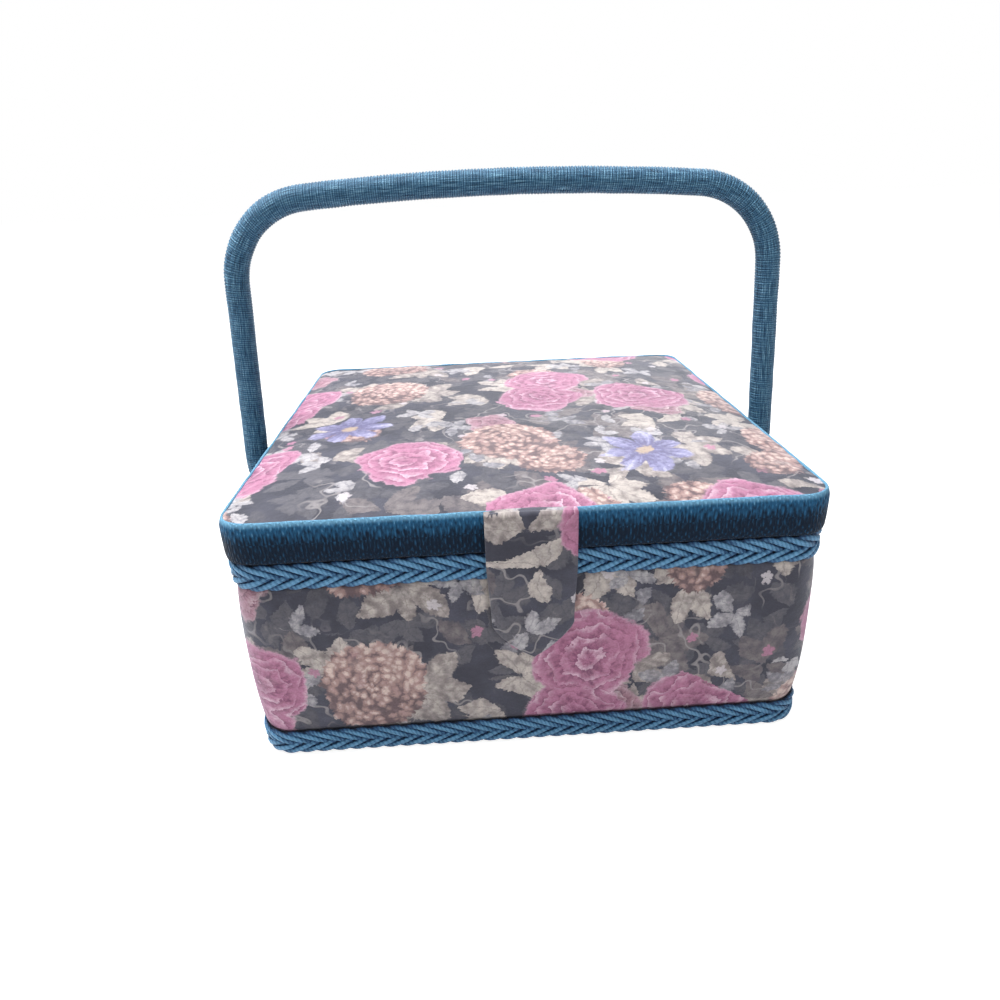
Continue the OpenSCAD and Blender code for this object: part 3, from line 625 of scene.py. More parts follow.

# %% [markdown]
# ## Blue trims
#
# The band, the braid and the handle's cord are the same petrol blue, but they catch the light in
# their own ways. The band is a short, velvety rib with a highlight painted where its edge is rolled and
# shade painted below. The braid is shiny gimp, with shade painted where its cords dive. The cord is wound
# so close that only fine rings show.
# An image of yarn would show its pixels so near, so each weave is made of sines along the piece's
# own map, which a noise makes uneven.

# %% Band, braid and cord finishes


def band_weave():
    """Ribbed band with short standing ribs, a highlight painted on its rolled upper edge and shade painted
    darker towards the hem.
    """
    f = Finish("band_weave", "cloth")
    along, around_it, _ = f.split(f.place)
    rib = (along * (TURN_MM / 1.25) + f.noise(300) * 6).sin() * 0.5 + 0.5
    fleck = f.noise(1000, 3.0, f.vector(along, around_it * 0.6))
    height = f.painted("up_the_band")
    brick = (along * (1000 / 2.5)).part().step("GREATER_THAN", 0.5) * (TURN / 2)
    stitch = (around_it * (TURN_MM / 2.6) + brick + fleck * 4).sin() * 0.5 + 0.5
    # Painted shade: height.rise makes the band darker towards the hem.
    tone = height.rise(0.3, 1.0) * 0.52 + fleck * 1.1 + (rib * stitch - 0.3) * 0.3 - 0.56
    dark = f.mix(tone.rise(-0.05, 0.6), shade(4, 22, 40), shade(36, 88, 126))
    # Painted highlight: edge lightens the rolled upper edge.
    edge = height.rise(0.86, 0.98) * 0.6 + tone.rise(0.5, 0.95) * 0.5
    f.relief(rib * stitch, 0.2 * MM)
    f.relief(fleck, 0.35 * MM)
    return f.set(Base_Color=f.mix(edge, dark, shade(128, 184, 216)), Roughness=0.78,
                 Specular_IOR_Level=0.15, Sheen_Weight=0.08, Sheen_Roughness=0.35).material


def twisted_yarn(name, low, middle, high, pitch, strength, dives=False):
    """Shiny yarn on a cord's own map: fine plies run slantwise round it. With dives, shade is painted
    where a cord dives under the others.
    """
    f = Finish(name, "cloth")
    along, round_it, _ = f.split(f.place)
    ply = (along * (TURN_MM / pitch) + round_it * TURN * 2).sin() * 0.5 + 0.5
    fleck = f.noise(700, 3.0)
    worn = f.noise(110, 4.0)
    tone = ply * 0.22 + fleck * 1.0 + worn * 1.5 - 0.92
    if dives:
        # Painted shade: darker where the cord dives under the others.
        tone = tone + 0.24 - f.painted("under").least(1.3) * 0.6
    f.relief(ply, strength * MM)
    f.relief(fleck, 0.12 * MM)
    yarn = f.mix(tone.rise(0.42, 0.95), f.mix(tone.rise(0.05, 0.5), low, middle), high)
    return f.set(Base_Color=yarn, Roughness=0.58, Specular_IOR_Level=0.3, Sheen_Weight=0.08,
                 Sheen_Roughness=0.3).material


BAND = band_weave()
# The braid's yarn gets painted shade where its cords dive.
GIMP = twisted_yarn("gimp_yarn", shade(2, 18, 40), shade(22, 66, 108), shade(104, 158, 196), 1.6, 0.08,
                    dives=True)
CORD = twisted_yarn("handle_yarn", shade(4, 24, 44), shade(42, 92, 126), shade(156, 206, 230), 0.9, 0.05)

# %% [markdown]
# ## Plain cloths, boards, metal and plastic
#
# What is inside is satin: smooth, with a soft highlight that follows its ruching. The boards show
# only at a cut or from inside, the fittings are plated steel, and the tray is vacuum-formed
# plastic with the faint scratches that every such tray gets.
# Each is two near tones on a noise: one flat colour would look like paint, and strong marks would
# look like dirt.

# %% Other finishes


def grained(name, pale, deep, scale, detail, low, high, depth, fibre=0.55, **numbers):
    """Two near tones that follow a noise, which also presses the surface by that depth in millimetres."""
    f = Finish(name)
    grain = f.noise(scale, detail, rough=fibre)
    f.relief(grain, depth * MM)
    return f.set(Base_Color=f.mix(grain.rise(low, high), deep, pale), **numbers)


def satin(name, pale, deep, wave=55):
    """Satin: soft creases with shade painted into their hollows, fine threads and a broad highlight."""
    # Painted shade: the deep tone lies in the crease hollows and the pale one on their crests.
    f = grained(name, pale, deep, wave, 2.0, 0.3, 0.7, 1.2, Roughness=0.38, Specular_IOR_Level=0.5,
                Sheen_Weight=0.3, Anisotropic=0.4)
    f.relief(f.noise(2600, 1.0), 0.03 * MM)
    return f.material


def felt(name, pale, deep):
    """Non-woven cloth: short fibres that lie every way."""
    return grained(name, pale, deep, 1300, 5.0, 0.3, 0.7, 0.15, 0.7, Roughness=0.92,
                   Specular_IOR_Level=0.15, Sheen_Weight=0.2).material


def metal(name, pale, deep, rough, brushed=False):
    """Plated or drawn metal: the gloss changes with handling, and drawn rod has fine lines."""
    f = Finish(name)
    x, y, z = f.split(f.place)
    at = f.vector(x * 40, y * 40, z) if brushed else None
    worn = f.noise(60 if brushed else 120, 4.0, at)
    f.relief(f.noise(1800, 2.0), 0.01 * MM)
    return f.set(Base_Color=f.mix(worn.rise(0.3, 0.75), pale, deep),
                 Roughness=worn * 0.22 + (rough - 0.08), Metallic=1.0).material


def plastic(name, pale, deep, rough):
    """Moulded plastic: an even tone with faint scratches and a grained gloss."""
    f = Finish(name)
    grain = f.noise(700, 3.0)
    x, y, z = f.split(f.place)
    scratch = (f.noise(45, 1.0, f.vector(x * 9, y, z)) - 0.5).size().rise(0.006, 0.0)
    f.relief(grain, 0.02 * MM)
    return f.set(Base_Color=f.mix(grain.rise(0.3, 0.7), deep, pale), Specular_IOR_Level=0.45,
                 Roughness=grain * 0.15 + (rough - 0.07) + scratch * 0.1).material


# %% Materials
LINING = satin("lining_satin", shade(104, 138, 160), shade(92, 125, 148))
POCKET = satin("pocket_satin", shade(126, 160, 180), shade(98, 130, 152), 90)
ROSE_SATIN = satin("pincushion_satin", shade(176, 96, 126), shade(134, 64, 92), 70)
RIBBED = satin("elastic_casing", shade(86, 118, 140), shade(62, 92, 114), 160)
FIBREBOARD = grained("raw_fibreboard", shade(178, 146, 104), shade(132, 102, 68), 900, 5.0, 0.35, 0.68,
                     0.12, Roughness=0.85, Specular_IOR_Level=0.2).material
CARD = felt("tab_card", shade(196, 176, 140), shade(168, 148, 112))
FOAM = grained("pad_foam", shade(236, 228, 196), shade(206, 194, 150), 1400, 2.0, 0.3, 0.5, 0.3,
               Roughness=0.95, Specular_IOR_Level=0.1).material
HEM_TAPE = felt("hem_tape", shade(34, 64, 88), shade(20, 42, 62))
BLACK_FELT = felt("base_felt", shade(46, 46, 52), shade(26, 26, 30))
BRASS = metal("hinge_brass", shade(188, 162, 112), shade(140, 116, 74), 0.4)
NICKEL = metal("plated_nickel", shade(214, 214, 218), shade(168, 168, 174), 0.24)
ROD = metal("drawn_rod", shade(170, 172, 176), shade(128, 130, 134), 0.36, True)
TRAY = plastic("tray_plastic", shade(178, 184, 190), shade(160, 167, 174), 0.42)
SPACER = plastic("spacer_plastic", shade(58, 94, 108), shade(42, 74, 88), 0.45)

# %% [markdown]
# The solids keep their meshes, because their shapes are exact. Each takes one of the finishes, so
# that like parts look alike.

# %% Finishes on the solids
CAD_FINISHES = [
    (BLACK_FELT, "base_cloth"),
    (FIBREBOARD, "base_board wall_board lid_board"),
    (HEM_TAPE, "lid_rim_board"),
    (FOAM, "lid_foam"),
    (CARD, "tab_stiffener"),
    (NICKEL, "closure_keeper tab_magnet handle_bolts bolt_washers dome_nuts"),
    (BRASS, "lower_hinge_leaves upper_hinge_leaves hinge_pins lower_hinge_screws upper_hinge_screws"),
    (ROD, "handle_rod"),
    (TRAY, "tray"),
    (SPACER, "handle_spacers"),
]
for finish, names in CAD_FINISHES:
    for name in names.split():
        NODES[name].data.materials.clear()
        NODES[name].data.materials.append(finish)
print("finished the solids with", len(CAD_FINISHES), "materials")

# %% [markdown]
# ## The cloth round the box
#
# On the real box the cotton is glued round the board over a thin wadding, so it bulges a little
# between the two braids and turns over the rim. A cross-section with that bulge is carried round
# the rounded square. Cloth simulation could give the bulge too, but glued cotton hardly moves, so
# a sine is enough. The map runs with the walk and up the wall, so the print stands upright.

# %% Outer cover
COVER_STEPS = 720
COVER_T = 1.0 * MM
TURN_IN = COVER_HIGH.z - 9 * MM
LIP_IN = -4.1 * MM
COVER_BULGE = 2.4 * MM
BRAID_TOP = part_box("base_braid")[1].z
BRAID_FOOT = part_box("rim_braid")[0].z
BOLT_Z = sum(v.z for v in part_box("handle_bolts")) / 2
PRESSED_RADIUS = 7.4 * MM
PRESSED_FADE = 6 * MM
COVER_UNEVEN = 0.14 * MM


def outer_cover():
    """Wall with a bulge of sin(pi t) to the power 0.42 between the braids, over the rim and down inside.

    Round the handle's spacers it is pressed flat: it is times 1 - exp(-(distance / PRESSED_FADE)^2)."""
    loop = around(BOX_HALF, BOX_HALF, BOX_CORNER, COVER_STEPS)
    low, high = COVER_LOW.z, COVER_HIGH.z
    wave = np.cos(np.linspace(0, np.pi, 40))
    padded_z = (BRAID_FOOT + BRAID_TOP) / 2 - (BRAID_FOOT - BRAID_TOP) / 2 * wave
    out_z = np.concatenate([[low, BRAID_TOP - 3 * MM], padded_z, [BRAID_FOOT + 3 * MM, high - 0.5 * MM]])
    ups = len(out_z)
    inner_z = np.linspace(high - 0.6 * MM, TURN_IN, 6)
    z = np.concatenate([out_z, [high, high, high - 0.1 * MM], inner_z, inner_z[::-1], [high - COVER_T],
                        [high - COVER_T], [low]])
    d = np.concatenate([np.zeros(ups), [-0.6 * MM, LIP_IN + 0.5 * MM, LIP_IN], np.full(6, LIP_IN),
                        np.full(6, LIP_IN + 0.6 * MM), [LIP_IN + 0.7 * MM], [-COVER_T], [-COVER_T]])
    place, steps = loop[0][:-1], loop[2][:-1, None]
    t = np.clip((out_z - BRAID_TOP) / (BRAID_FOOT - BRAID_TOP), 0, 1)
    full = np.sin(np.pi * t) ** 0.42
    on_side = np.abs(place[:, :1]) > BOX_HALF - 1 * MM
    away = np.hypot(place[:, 1:], out_z - BOLT_Z) - PRESSED_RADIUS
    pressed = np.where(on_side, np.exp(-(np.clip(away, 0, None) / PRESSED_FADE) ** 2), 0)
    bulge = np.zeros((COVER_STEPS, len(z)))
    uneven = COVER_UNEVEN * ripples(steps / MM, out_z / MM, 34, 3) * np.sin(np.pi * t)
    bulge[:, :ups] = (COVER_BULGE * full + uneven) * (1 - pressed)
    mesh = trim_mesh("cover_cloth", loop, d + bulge, np.broadcast_to(z, bulge.shape), 0)
    layer = mesh.uv_layers["cloth"]
    length = np.concatenate([[0], np.cumsum(np.hypot(np.diff(d), np.diff(z)))])
    _, ci, cj = grid_cells(COVER_STEPS, len(z), True, True)
    seam = (loop[2] + loop[2][-1] / 2) % loop[2][-1] - loop[2][-1] / 2
    across = seam[ci]
    across[:, [1, 2]] = across[:, [0]] + loop[2][1]
    layer.data.foreach_set("uv", np.stack([across, length[cj % len(z)]], -1).astype(np.float32).ravel())
    piece = show(mesh, "box", COTTON, ["outer_cover"])
    return piece


outer_cover()

# %% [markdown]
# ## The band round the lid
#
# The band is a strip of ribbed ribbon that stands a little proud, rolls over the lid's upper edge and is
# turned under at the hem. Its section is a flat oval, and short ribs stand across it. A bump map
# could draw the ribs alone. Here the points carry them too, so the mesh itself has them.

# %% Woven band
BAND_RIB = 1.25 * MM
BAND_STEPS = 2600
BAND_PROFILE = 22
BAND_PROUD = -0.3 * MM
BAND_THICK = 1.75 * MM
BAND_ROLL = 0.5 * MM
BAND_EXTRA = 0.3 * MM


def lid_ring(node, steps, profile):
    """Loop round the lid, its steps, a section's angles, and the node's middle and half height."""
    loop = around(LID_HALF, LID_HALF, LID_CORNER, steps)
    low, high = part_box(node)
    return loop, loop[2][:-1, None], full_turn(profile)[None], (low.z + high.z) / 2, (high.z - low.z) / 2


def lid_band():
    """Superellipse section: thickness cos^0.6 and height sin^0.75 of the angle, with ribs of cos."""
    loop, s, angle, middle_z, half_h = lid_ring("lid_band", BAND_STEPS, BAND_PROFILE)
    wide, tall = oval(angle, 0.6, 0.75)
    ribs = np.cos(2 * np.pi * s / BAND_RIB + 0.8 * ripples(s / MM, 3 * angle, 9, 5))
    worn = 1 + 0.45 * ripples(s / MM, 14 * angle, 7, 8)
    d = BAND_PROUD - BAND_THICK / 2 + BAND_THICK / 2 * wide + 0.04 * MM * ribs * worn * (wide > 0.2)
    roll = BAND_ROLL * between(tall, 0.6, 1.0)
    z = middle_z + (half_h + BAND_EXTRA) * tall + 0.12 * MM * ripples(s / MM, 0 * angle, 26, 12)
    mesh = trim_mesh("band_ribbon", loop, d - roll, z + 0 * s, 32 * MM)
    mark(mesh, "up_the_band", np.broadcast_to(tall * 0.5 + 0.5, z.shape))
    piece = show(mesh, "lid", BAND, ["lid_band"])
    return piece


lid_band()

# %% [markdown]
# ## Plaited gimp
#
# Two braids edge the box. Each is a flat plait of seven cords on a thin tape. A cord swings from edge
# to edge and dives as a sine of twice its angle, so it lies on top from the edge to the middle
# and below from there to the other edge, which gives the photograph's herring-bone. The swing is
# a sine that is straightened by an arcsine, because a pure sine leaves holes in the middle.
# A flat strip with a picture of a plait would be lighter, but its edge would look cut.

# %% Braids
PLAIT_PERIOD = 45 * MM
CORDS = 7
CORD_SIDES = 8
RINGS_IN_PERIOD = 60
CORD_HALF_WIDTH = 1.18 * MM
CORD_HALF_DEPTH = 0.62 * MM
PLAIT_DIVE = 0.5 * MM
PLAIT_BED = 1.1 * MM
SWING_SHARPNESS = 0.95
TAPE_DEPTH = 0.35 * MM


def braid(name, node):
    """Cord k: side = A arcsin(c sin p) / arcsin(c) and depth = -B sin(2 p), where p = w s + 2 pi k / 7.

    The tape is one more cord, which is as wide as the braid and lies still."""
    low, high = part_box(node)
    length = around(BOX_HALF, BOX_HALF, BOX_CORNER, 40)[2][-1]
    periods = round(length / PLAIT_PERIOD)
    rings = periods * RINGS_IN_PERIOD
    place, out, s = around(BOX_HALF, BOX_HALF, BOX_CORNER, rings)
    phase = 2 * np.pi * (periods * s[:-1] / length + np.arange(CORDS)[:, None] / CORDS)
    half = (high.z - low.z) / 2
    swing = half - CORD_HALF_WIDTH
    side = swing * np.arcsin(SWING_SHARPNESS * np.sin(phase)) / np.arcsin(SWING_SHARPNESS)
    deep = PLAIT_BED - PLAIT_DIVE * np.sin(2 * phase)
    side = np.vstack([side, 0 * side[:1]])
    deep = np.vstack([deep, 0 * deep[:1] + TAPE_DEPTH])
    half_width = np.append(np.full(CORDS, CORD_HALF_WIDTH), half - 0.5 * MM)[:, None, None]
    half_depth = np.append(np.full(CORDS, CORD_HALF_DEPTH), TAPE_DEPTH)[:, None, None]
    around_it = full_turn(CORD_SIDES)
    offset = deep[..., None] + half_depth * np.cos(around_it)
    height = (low.z + high.z) / 2 + side[..., None] + half_width * np.sin(around_it)
    flat = place[None, :-1, None] + out[None, :-1, None] * offset[..., None]
    points = np.concatenate([flat, height[..., None]], -1)
    quads, ci, cj = grid_cells(rings, CORD_SIDES, True, True)
    first = np.arange(CORDS + 1)[:, None, None] * rings * CORD_SIDES
    uv = np.stack([s[ci], cj / CORD_SIDES], -1)
    mesh = mesh_of(name, points, [(quads + first).reshape(-1, 4)], np.tile(uv, (CORDS + 1, 1, 1, 1)))
    # under grows with how deep a point lies, for the shade painted where a cord dives.
    mark(mesh, "under", (PLAIT_BED + PLAIT_DIVE - offset) / PLAIT_DIVE * 0.5 + 0.3)
    return show(mesh, "box", GIMP, [node])


braid("rim_plait", "rim_braid")
braid("base_plait", "base_braid")

# %% [markdown]
# ## Padded pieces
#
# The lid, the linings and the pincushion are flat shapes that are stuffed. A square grid is bent to the
# rounded outline by pushing every square ring of it onto a smaller copy of the outline, so
# there is no pole in the middle. The upper and the lower sheet share the outline and meet in a seam.
# Sculpting could swell them as well. The thin pads are glued down at their edges, so a crown that
# is a power of the ring number comes close enough.

# %% Pads
SEAM = 0.02 * MM


def plan(half_x, half_y, radius, n):
    """Square grid on a rounded rectangle. Returns (n, n, 2) places and the ring number from 0 to 1.

    A grid point at (u, v) lies on ring m = max(|u|, |v|), which is the outline times m. Along a side,
    it is the same share of the way from mid-corner to mid-corner as it is on the square."""
    t = np.linspace(-1, 1, n)
    t = 1.2 * t - 0.2 * t ** 3
    u, v = np.meshgrid(t, t, indexing="ij")
    m = np.maximum(np.abs(u), np.abs(v))
    safe = np.maximum(m, 1e-9)

    def side(a, half_a, half_b):
        """Point on a side that faces along b, a from -1 to 1, as (along, out)."""
        straight = half_a - radius
        length = straight + radius * np.pi / 4
        way = np.abs(a) * length
        turn = np.clip((way - straight) / radius, 0, np.pi / 4)
        along = np.where(way < straight, way, straight + radius * np.sin(turn))
        return np.sign(a) * along, half_b - radius + radius * np.cos(turn)

    y_along, x_out = side(v / safe, half_y, half_x)
    x_along, y_out = side(u / safe, half_x, half_y)
    on_x = np.abs(u) >= np.abs(v)
    x = np.where(on_x, np.sign(u) * x_out, x_along) * m
    y = np.where(on_x, y_along, np.sign(v) * y_out) * m
    return np.stack([x, y], -1), m


def rim_of(n):
    """Indices of a square grid's outermost points, anticlockwise."""
    i = np.arange(n - 1)
    return np.concatenate([i * n, (n - 1) * n + i, (n - 1 - i) * n + n - 1, n - 1 - i])


def pad_mesh(name, places, upper, lower, spot=(0, 0, 0), axes=((1, 0, 0), (0, 1, 0), (0, 0, 1))):
    """Closed pad: a grid of places at the heights upper and at the one height lower, joined at the rim."""
    n = places.shape[0]
    quads, _, _ = grid_cells(n, n)
    rim = rim_of(n)
    nxt = np.roll(rim, -1)
    wall = np.stack([rim + n * n, nxt + n * n, nxt, rim], -1)
    heights = np.stack([upper, np.full_like(upper, lower)])[..., None]
    local = np.concatenate([np.stack([places, places]), heights], -1).reshape(-1, 3)
    points = local @ np.array(axes, float) + np.array(spot)
    faces = [quads, quads[:, ::-1] + n * n, wall]
    uv = np.concatenate([local[f.ravel(), :2] for f in faces])
    return mesh_of(name, points, faces, uv)


# %% [markdown]
# The lid's cushion is the first pad. Its cloth is drawn tight behind the band, which leaves short
# puckers along the edge, and its wadding is a little uneven.

# %% Lid cushion
LID_COVER_LOW, LID_COVER_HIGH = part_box("lid_cover")
LID_GRID = 181
LID_DIP = 0.4 * MM
LID_PUCKER = 0.28 * MM
LID_SOFTNESS = 0.35 * MM


def lid_cover():
    """Crown (1 - m^14)(1 - 0.8 x^4)(1 - 0.8 y^4), drawn down behind the band, puckered near its edge."""
    half = LID_COVER_HIGH.x
    places, m = plan(half, half, LID_CORNER - 1.2 * MM, LID_GRID)
    x, y = places[..., 0], places[..., 1]
    edge = BAND_HIGH.z
    fall = (1 - 0.8 * (x / half) ** 4) * (1 - 0.8 * (y / half) ** 4)
    crown = (LID_COVER_HIGH.z - edge) * (1 - m ** 14) * fall
    pucker = ripples(np.arctan2(y, x) * 90, m * 12, 11, 21) * between(m, 0.8, 0.97) * LID_PUCKER
    soft = LID_SOFTNESS * ripples(x / MM, y / MM, 62, 14) * (1 - m ** 6)
    top = edge + crown + soft + pucker * (1 - between(m, 0.985, 1.0)) - LID_DIP * between(m, 0.93, 1.0)
    mesh = pad_mesh("lid_cushion", places, top, LID_COVER_LOW.z + SEAM)
    piece = show(mesh, "lid", COTTON, ["lid_cover", "lid_foam"])
    return piece


lid_cover()

# %% [markdown]
# ## The wound handle
#
# The handle is a steel bow. Each end is flattened and bolted to the box, the arms swing out past the
# lid and lean in again, and two round corners lead to a bar with a slight arch. The line is made of
# arcs that are tangent to one another. Cord is wound round it, turn against turn: the radius of a
# tube round the line rises and falls along a helix with one turn to a cord's width.
# One long coil of cord would also do, but it takes many times the faces for grooves that are half
# a millimetre deep.

# %% Line of the bow
WINDING_LOW, WINDING_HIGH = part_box("handle_winding")
PADDLE_X = 110.5 * MM
FOOT_Z = WINDING_LOW.z + 2 * MM
FOOT_BEND_R, FOOT_BEND_A = 30 * MM, 20
HIP_R, ARM_SPLAY, ARM_LEAN = 40 * MM, 7.8 * MM, 3.87
CORNER_R = 34.5 * MM
ARCH_R = 1050 * MM
ARCH_TOP = WINDING_HIGH.z - 5.2 * MM


def direction(degrees):
    """Unit vector in X and Z at an angle from +X."""
    a = np.radians(degrees)
    return np.stack([np.cos(a), np.sin(a)], -1)


def bow_line():
    """Centre line of the bow in X and Z from the right foot over the bar to the left foot."""
    bend_c = np.array([PADDLE_X + FOOT_BEND_R, FOOT_Z])
    bend = bend_c - FOOT_BEND_R * direction(np.linspace(0, -FOOT_BEND_A, 24))
    hip_x = PADDLE_X + ARM_SPLAY - HIP_R * (1 - np.cos(np.radians(FOOT_BEND_A)))
    slope = direction(90 - FOOT_BEND_A)
    hip_start = bend[-1] + slope * (hip_x - bend[-1, 0]) / slope[0]
    hip_c = hip_start - HIP_R * direction(-FOOT_BEND_A)
    hip = hip_c + HIP_R * direction(np.linspace(-FOOT_BEND_A, ARM_LEAN, 24))
    arm = direction(90 + ARM_LEAN)
    base = hip[-1] - CORNER_R * direction(ARM_LEAN)
    arch_c = np.array([0, ARCH_TOP - ARCH_R])
    to_base = base - arch_c
    along = to_base @ arm
    reach = -along + np.sqrt(along ** 2 - to_base @ to_base + (ARCH_R - CORNER_R) ** 2)
    corner_c = base + reach * arm
    half_arch = np.degrees(np.arctan2(corner_c[0], corner_c[1] - arch_c[1]))
    corner = corner_c + CORNER_R * direction(np.linspace(ARM_LEAN, 90 - half_arch, 60))
    arch = arch_c + ARCH_R * direction(np.linspace(90 - half_arch, 90, 60))
    right = np.concatenate([[[PADDLE_X, WINDING_LOW.z]], bend, hip, corner, arch[1:]])
    return np.concatenate([right, right[-2::-1] * [-1, 1]])


def evenly(line, step):
    """Points every step along a line of points, with unit tangents and the distance walked."""
    walked = np.concatenate([[0], np.cumsum(np.linalg.norm(np.diff(line, axis=0), axis=1))])
    s = np.linspace(0, walked[-1], int(round(walked[-1] / step)) + 1)
    points = np.stack([np.interp(s, walked, line[:, i]) for i in range(line.shape[1])], -1)
    tangent = np.gradient(points, axis=0)
    return points, tangent / np.linalg.norm(tangent, axis=1, keepdims=True), s


# %% Handle winding
WINDING_R = 5.2 * MM
CORD_PITCH = 1.3 * MM
CORD_GROOVE = 0.5 * MM
WINDING_SIDES = 22
RINGS_IN_TURN = 5


def handle_winding():
    """Radius R - groove (1 - |sin(pi (s / pitch + a / turn))|)^1.4: one rib for each turn of cord."""
    centre, tangent, s = evenly(bow_line(), CORD_PITCH / RINGS_IN_TURN)
    angle = full_turn(WINDING_SIDES)
    turn = s[:, None] / CORD_PITCH + angle / (2 * np.pi)
    rib = np.abs(np.sin(np.pi * turn))
    end = between(np.minimum(s, s[-1] - s), 0, 1.2 * MM)[:, None]
    groove = CORD_GROOVE * (1 - rib) ** 1.4
    radius = WINDING_R - groove + 0.06 * MM * ripples(s[:, None] / MM, 2 * angle, 16, 31)
    radius = radius * (0.82 + 0.18 * end)
    out = np.stack([tangent[:, 1], -tangent[:, 0]], -1)
    flat = centre[:, None] + (radius * np.cos(angle))[..., None] * out[:, None]
    points = np.stack([flat[..., 0], radius * np.sin(angle), flat[..., 1]], -1)
    uv = pairs(s, np.linspace(0, 1, WINDING_SIDES + 1))
    mesh = grid_mesh("winding_cord", points, uv, wrap_v=True, caps=[(0, False), (len(s) - 1, True)])
    print("winding", round(s[-1], 3), "m of bar,", round(s[-1] / CORD_PITCH), "turns")
    return show(mesh, "handle", CORD, ["handle_winding"])


handle_winding()

# %% [markdown]
# ## The closing tab
#
# The tab is a strip of the same cotton, sewn round a card, that comes out between the lid's cover and
# its band, folds over the edge and hangs down in front. It is one piece of cloth, so it is one mesh:
# a path over the fold in Y and Z, and across it a thin rounded section that narrows to a point.
# A sheet that is pinned at the lid and draped would do too, but the card inside keeps the real
# tab flat, so the path is closer to it.

# %% Closing tab
TAB_LOW, TAB_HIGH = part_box("tab_face_cloth")
TAB_HALF = TAB_HIGH.x
TAB_T = 2.6 * MM
TAB_FOLD_Y, TAB_FOLD_Z = -107.0 * MM, 98.2 * MM
TAB_STRAIGHT = 13.0 * MM
TAB_ROOT = 3.2 * MM
TAB_FOLD_R = 0.1 * MM
TAB_HEM, TAB_STITCHES = 3.2 * MM, 2.2 * MM
TAB_SEAM_DEPTH = 0.16 * MM
TAB_LIFT = 0.5 * MM
# The place in the print, in metres, that the tab is cut from.
TAB_CUT = (0.268, 0.071)
TAB_ROWS = 150
TAB_SIDES = 56


def tab_half_width(down, length):
    """Half width at a distance down the tab: full, slightly tapered, then a blunt point.

    The point is a superellipse in the last stretch: (1 - t^1.35) to the power 0.78."""
    t = np.clip((down - (length - TAB_STRAIGHT)) / TAB_STRAIGHT, 0, 1)
    taper = TAB_HALF - 1.1 * MM * between(down, 0.3 * length, length - TAB_STRAIGHT)
    return taper * np.clip(1 - t ** 1.35, 0, 1) ** 0.78


def closing_tab():
    """The path lies flat on the lid, turns 90 degrees about the fold and hangs down, tip lifted a little.

    Its section is an oval of cos^0.35 by sin^0.7, with a stitched hem on the outer face."""
    fold = np.pi / 2 * TAB_FOLD_R
    hang = TAB_FOLD_Z - TAB_LOW.z
    total = TAB_ROOT + fold + hang
    t = np.linspace(0, 1, TAB_ROWS)
    way = total * (1 - (1 - t) ** 1.35)
    turn = np.clip((way - TAB_ROOT) / fold, 0, 1) * np.pi / 2
    down = np.clip(way - TAB_ROOT - fold, 0, None)
    path_y = TAB_FOLD_Y + np.clip(TAB_ROOT - way, 0, None) - TAB_FOLD_R * np.sin(turn)
    path_z = TAB_FOLD_Z + TAB_FOLD_R * np.cos(turn) - down
    out_y, out_z = -np.sin(turn), np.cos(turn)
    angle = full_turn(TAB_SIDES)[None]
    wide, deep = oval(angle, 0.35, 0.7)
    half = tab_half_width(down, hang)[:, None]
    seam = between(np.abs(wide) * half, half - TAB_HEM, half - TAB_STITCHES) * (deep > 0)
    stitched = between(hang - down, 2.4 * MM, 3.6 * MM)[:, None]
    thin = 0.45 + 0.55 * between(way, 0.6 * TAB_ROOT, 2.4 * TAB_ROOT)[:, None]
    puff = 1 + 0.2 * (1 - np.abs(wide) ** 2) * between(down, 2 * MM, 14 * MM)[:, None]
    height = TAB_T / 2 * thin * deep * np.where(deep > 0, puff, 1) - TAB_SEAM_DEPTH * seam * stitched
    height = height + 0.12 * MM * ripples(wide * 15, way[:, None] / MM, 15, 44) * (deep > 0) * stitched
    height = height + TAB_LIFT * between(down, hang - 24 * MM, hang)[:, None]
    x = half * wide
    y = path_y[:, None] + out_y[:, None] * height
    z = path_z[:, None] + out_z[:, None] * height
    points = np.stack([x, y, z + 0 * x], -1)
    round_x = np.concatenate([wide[0], wide[0, :1]])
    uv = np.stack([half * round_x, -way[:, None] + 0 * round_x], -1) + TAB_CUT
    mesh = grid_mesh("closing_tab", points, uv, wrap_v=True, caps=[(0, False), (TAB_ROWS - 1, True)])
    piece = show(mesh, None, COTTON, ["tab_face_cloth", "tab_back_cloth", "tab_root"])
    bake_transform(piece)
    return piece


closing_tab()

# %% [markdown]
# ## Inside the box
#
# The walls are lined with padded satin panels that meet in the corners, and a fifth pad lies on the
# bottom. Each is the same kind of pad, turned to its side: the crown faces into the box, and thread
# pulls it flat along its edges.
# Thread in padding could be simulated as well. It only makes valleys, and a formula for the
# height draws those just as well.

# %% Linings
WALL_T = 3.5 * MM
STITCH_PITCH = 38 * MM
WALL_PAD_EDGE, WALL_PAD_CROWN = 0.9 * MM, 2.4 * MM
FLOOR_PAD_EDGE, FLOOR_PAD_CROWN = 1.2 * MM, 2.2 * MM


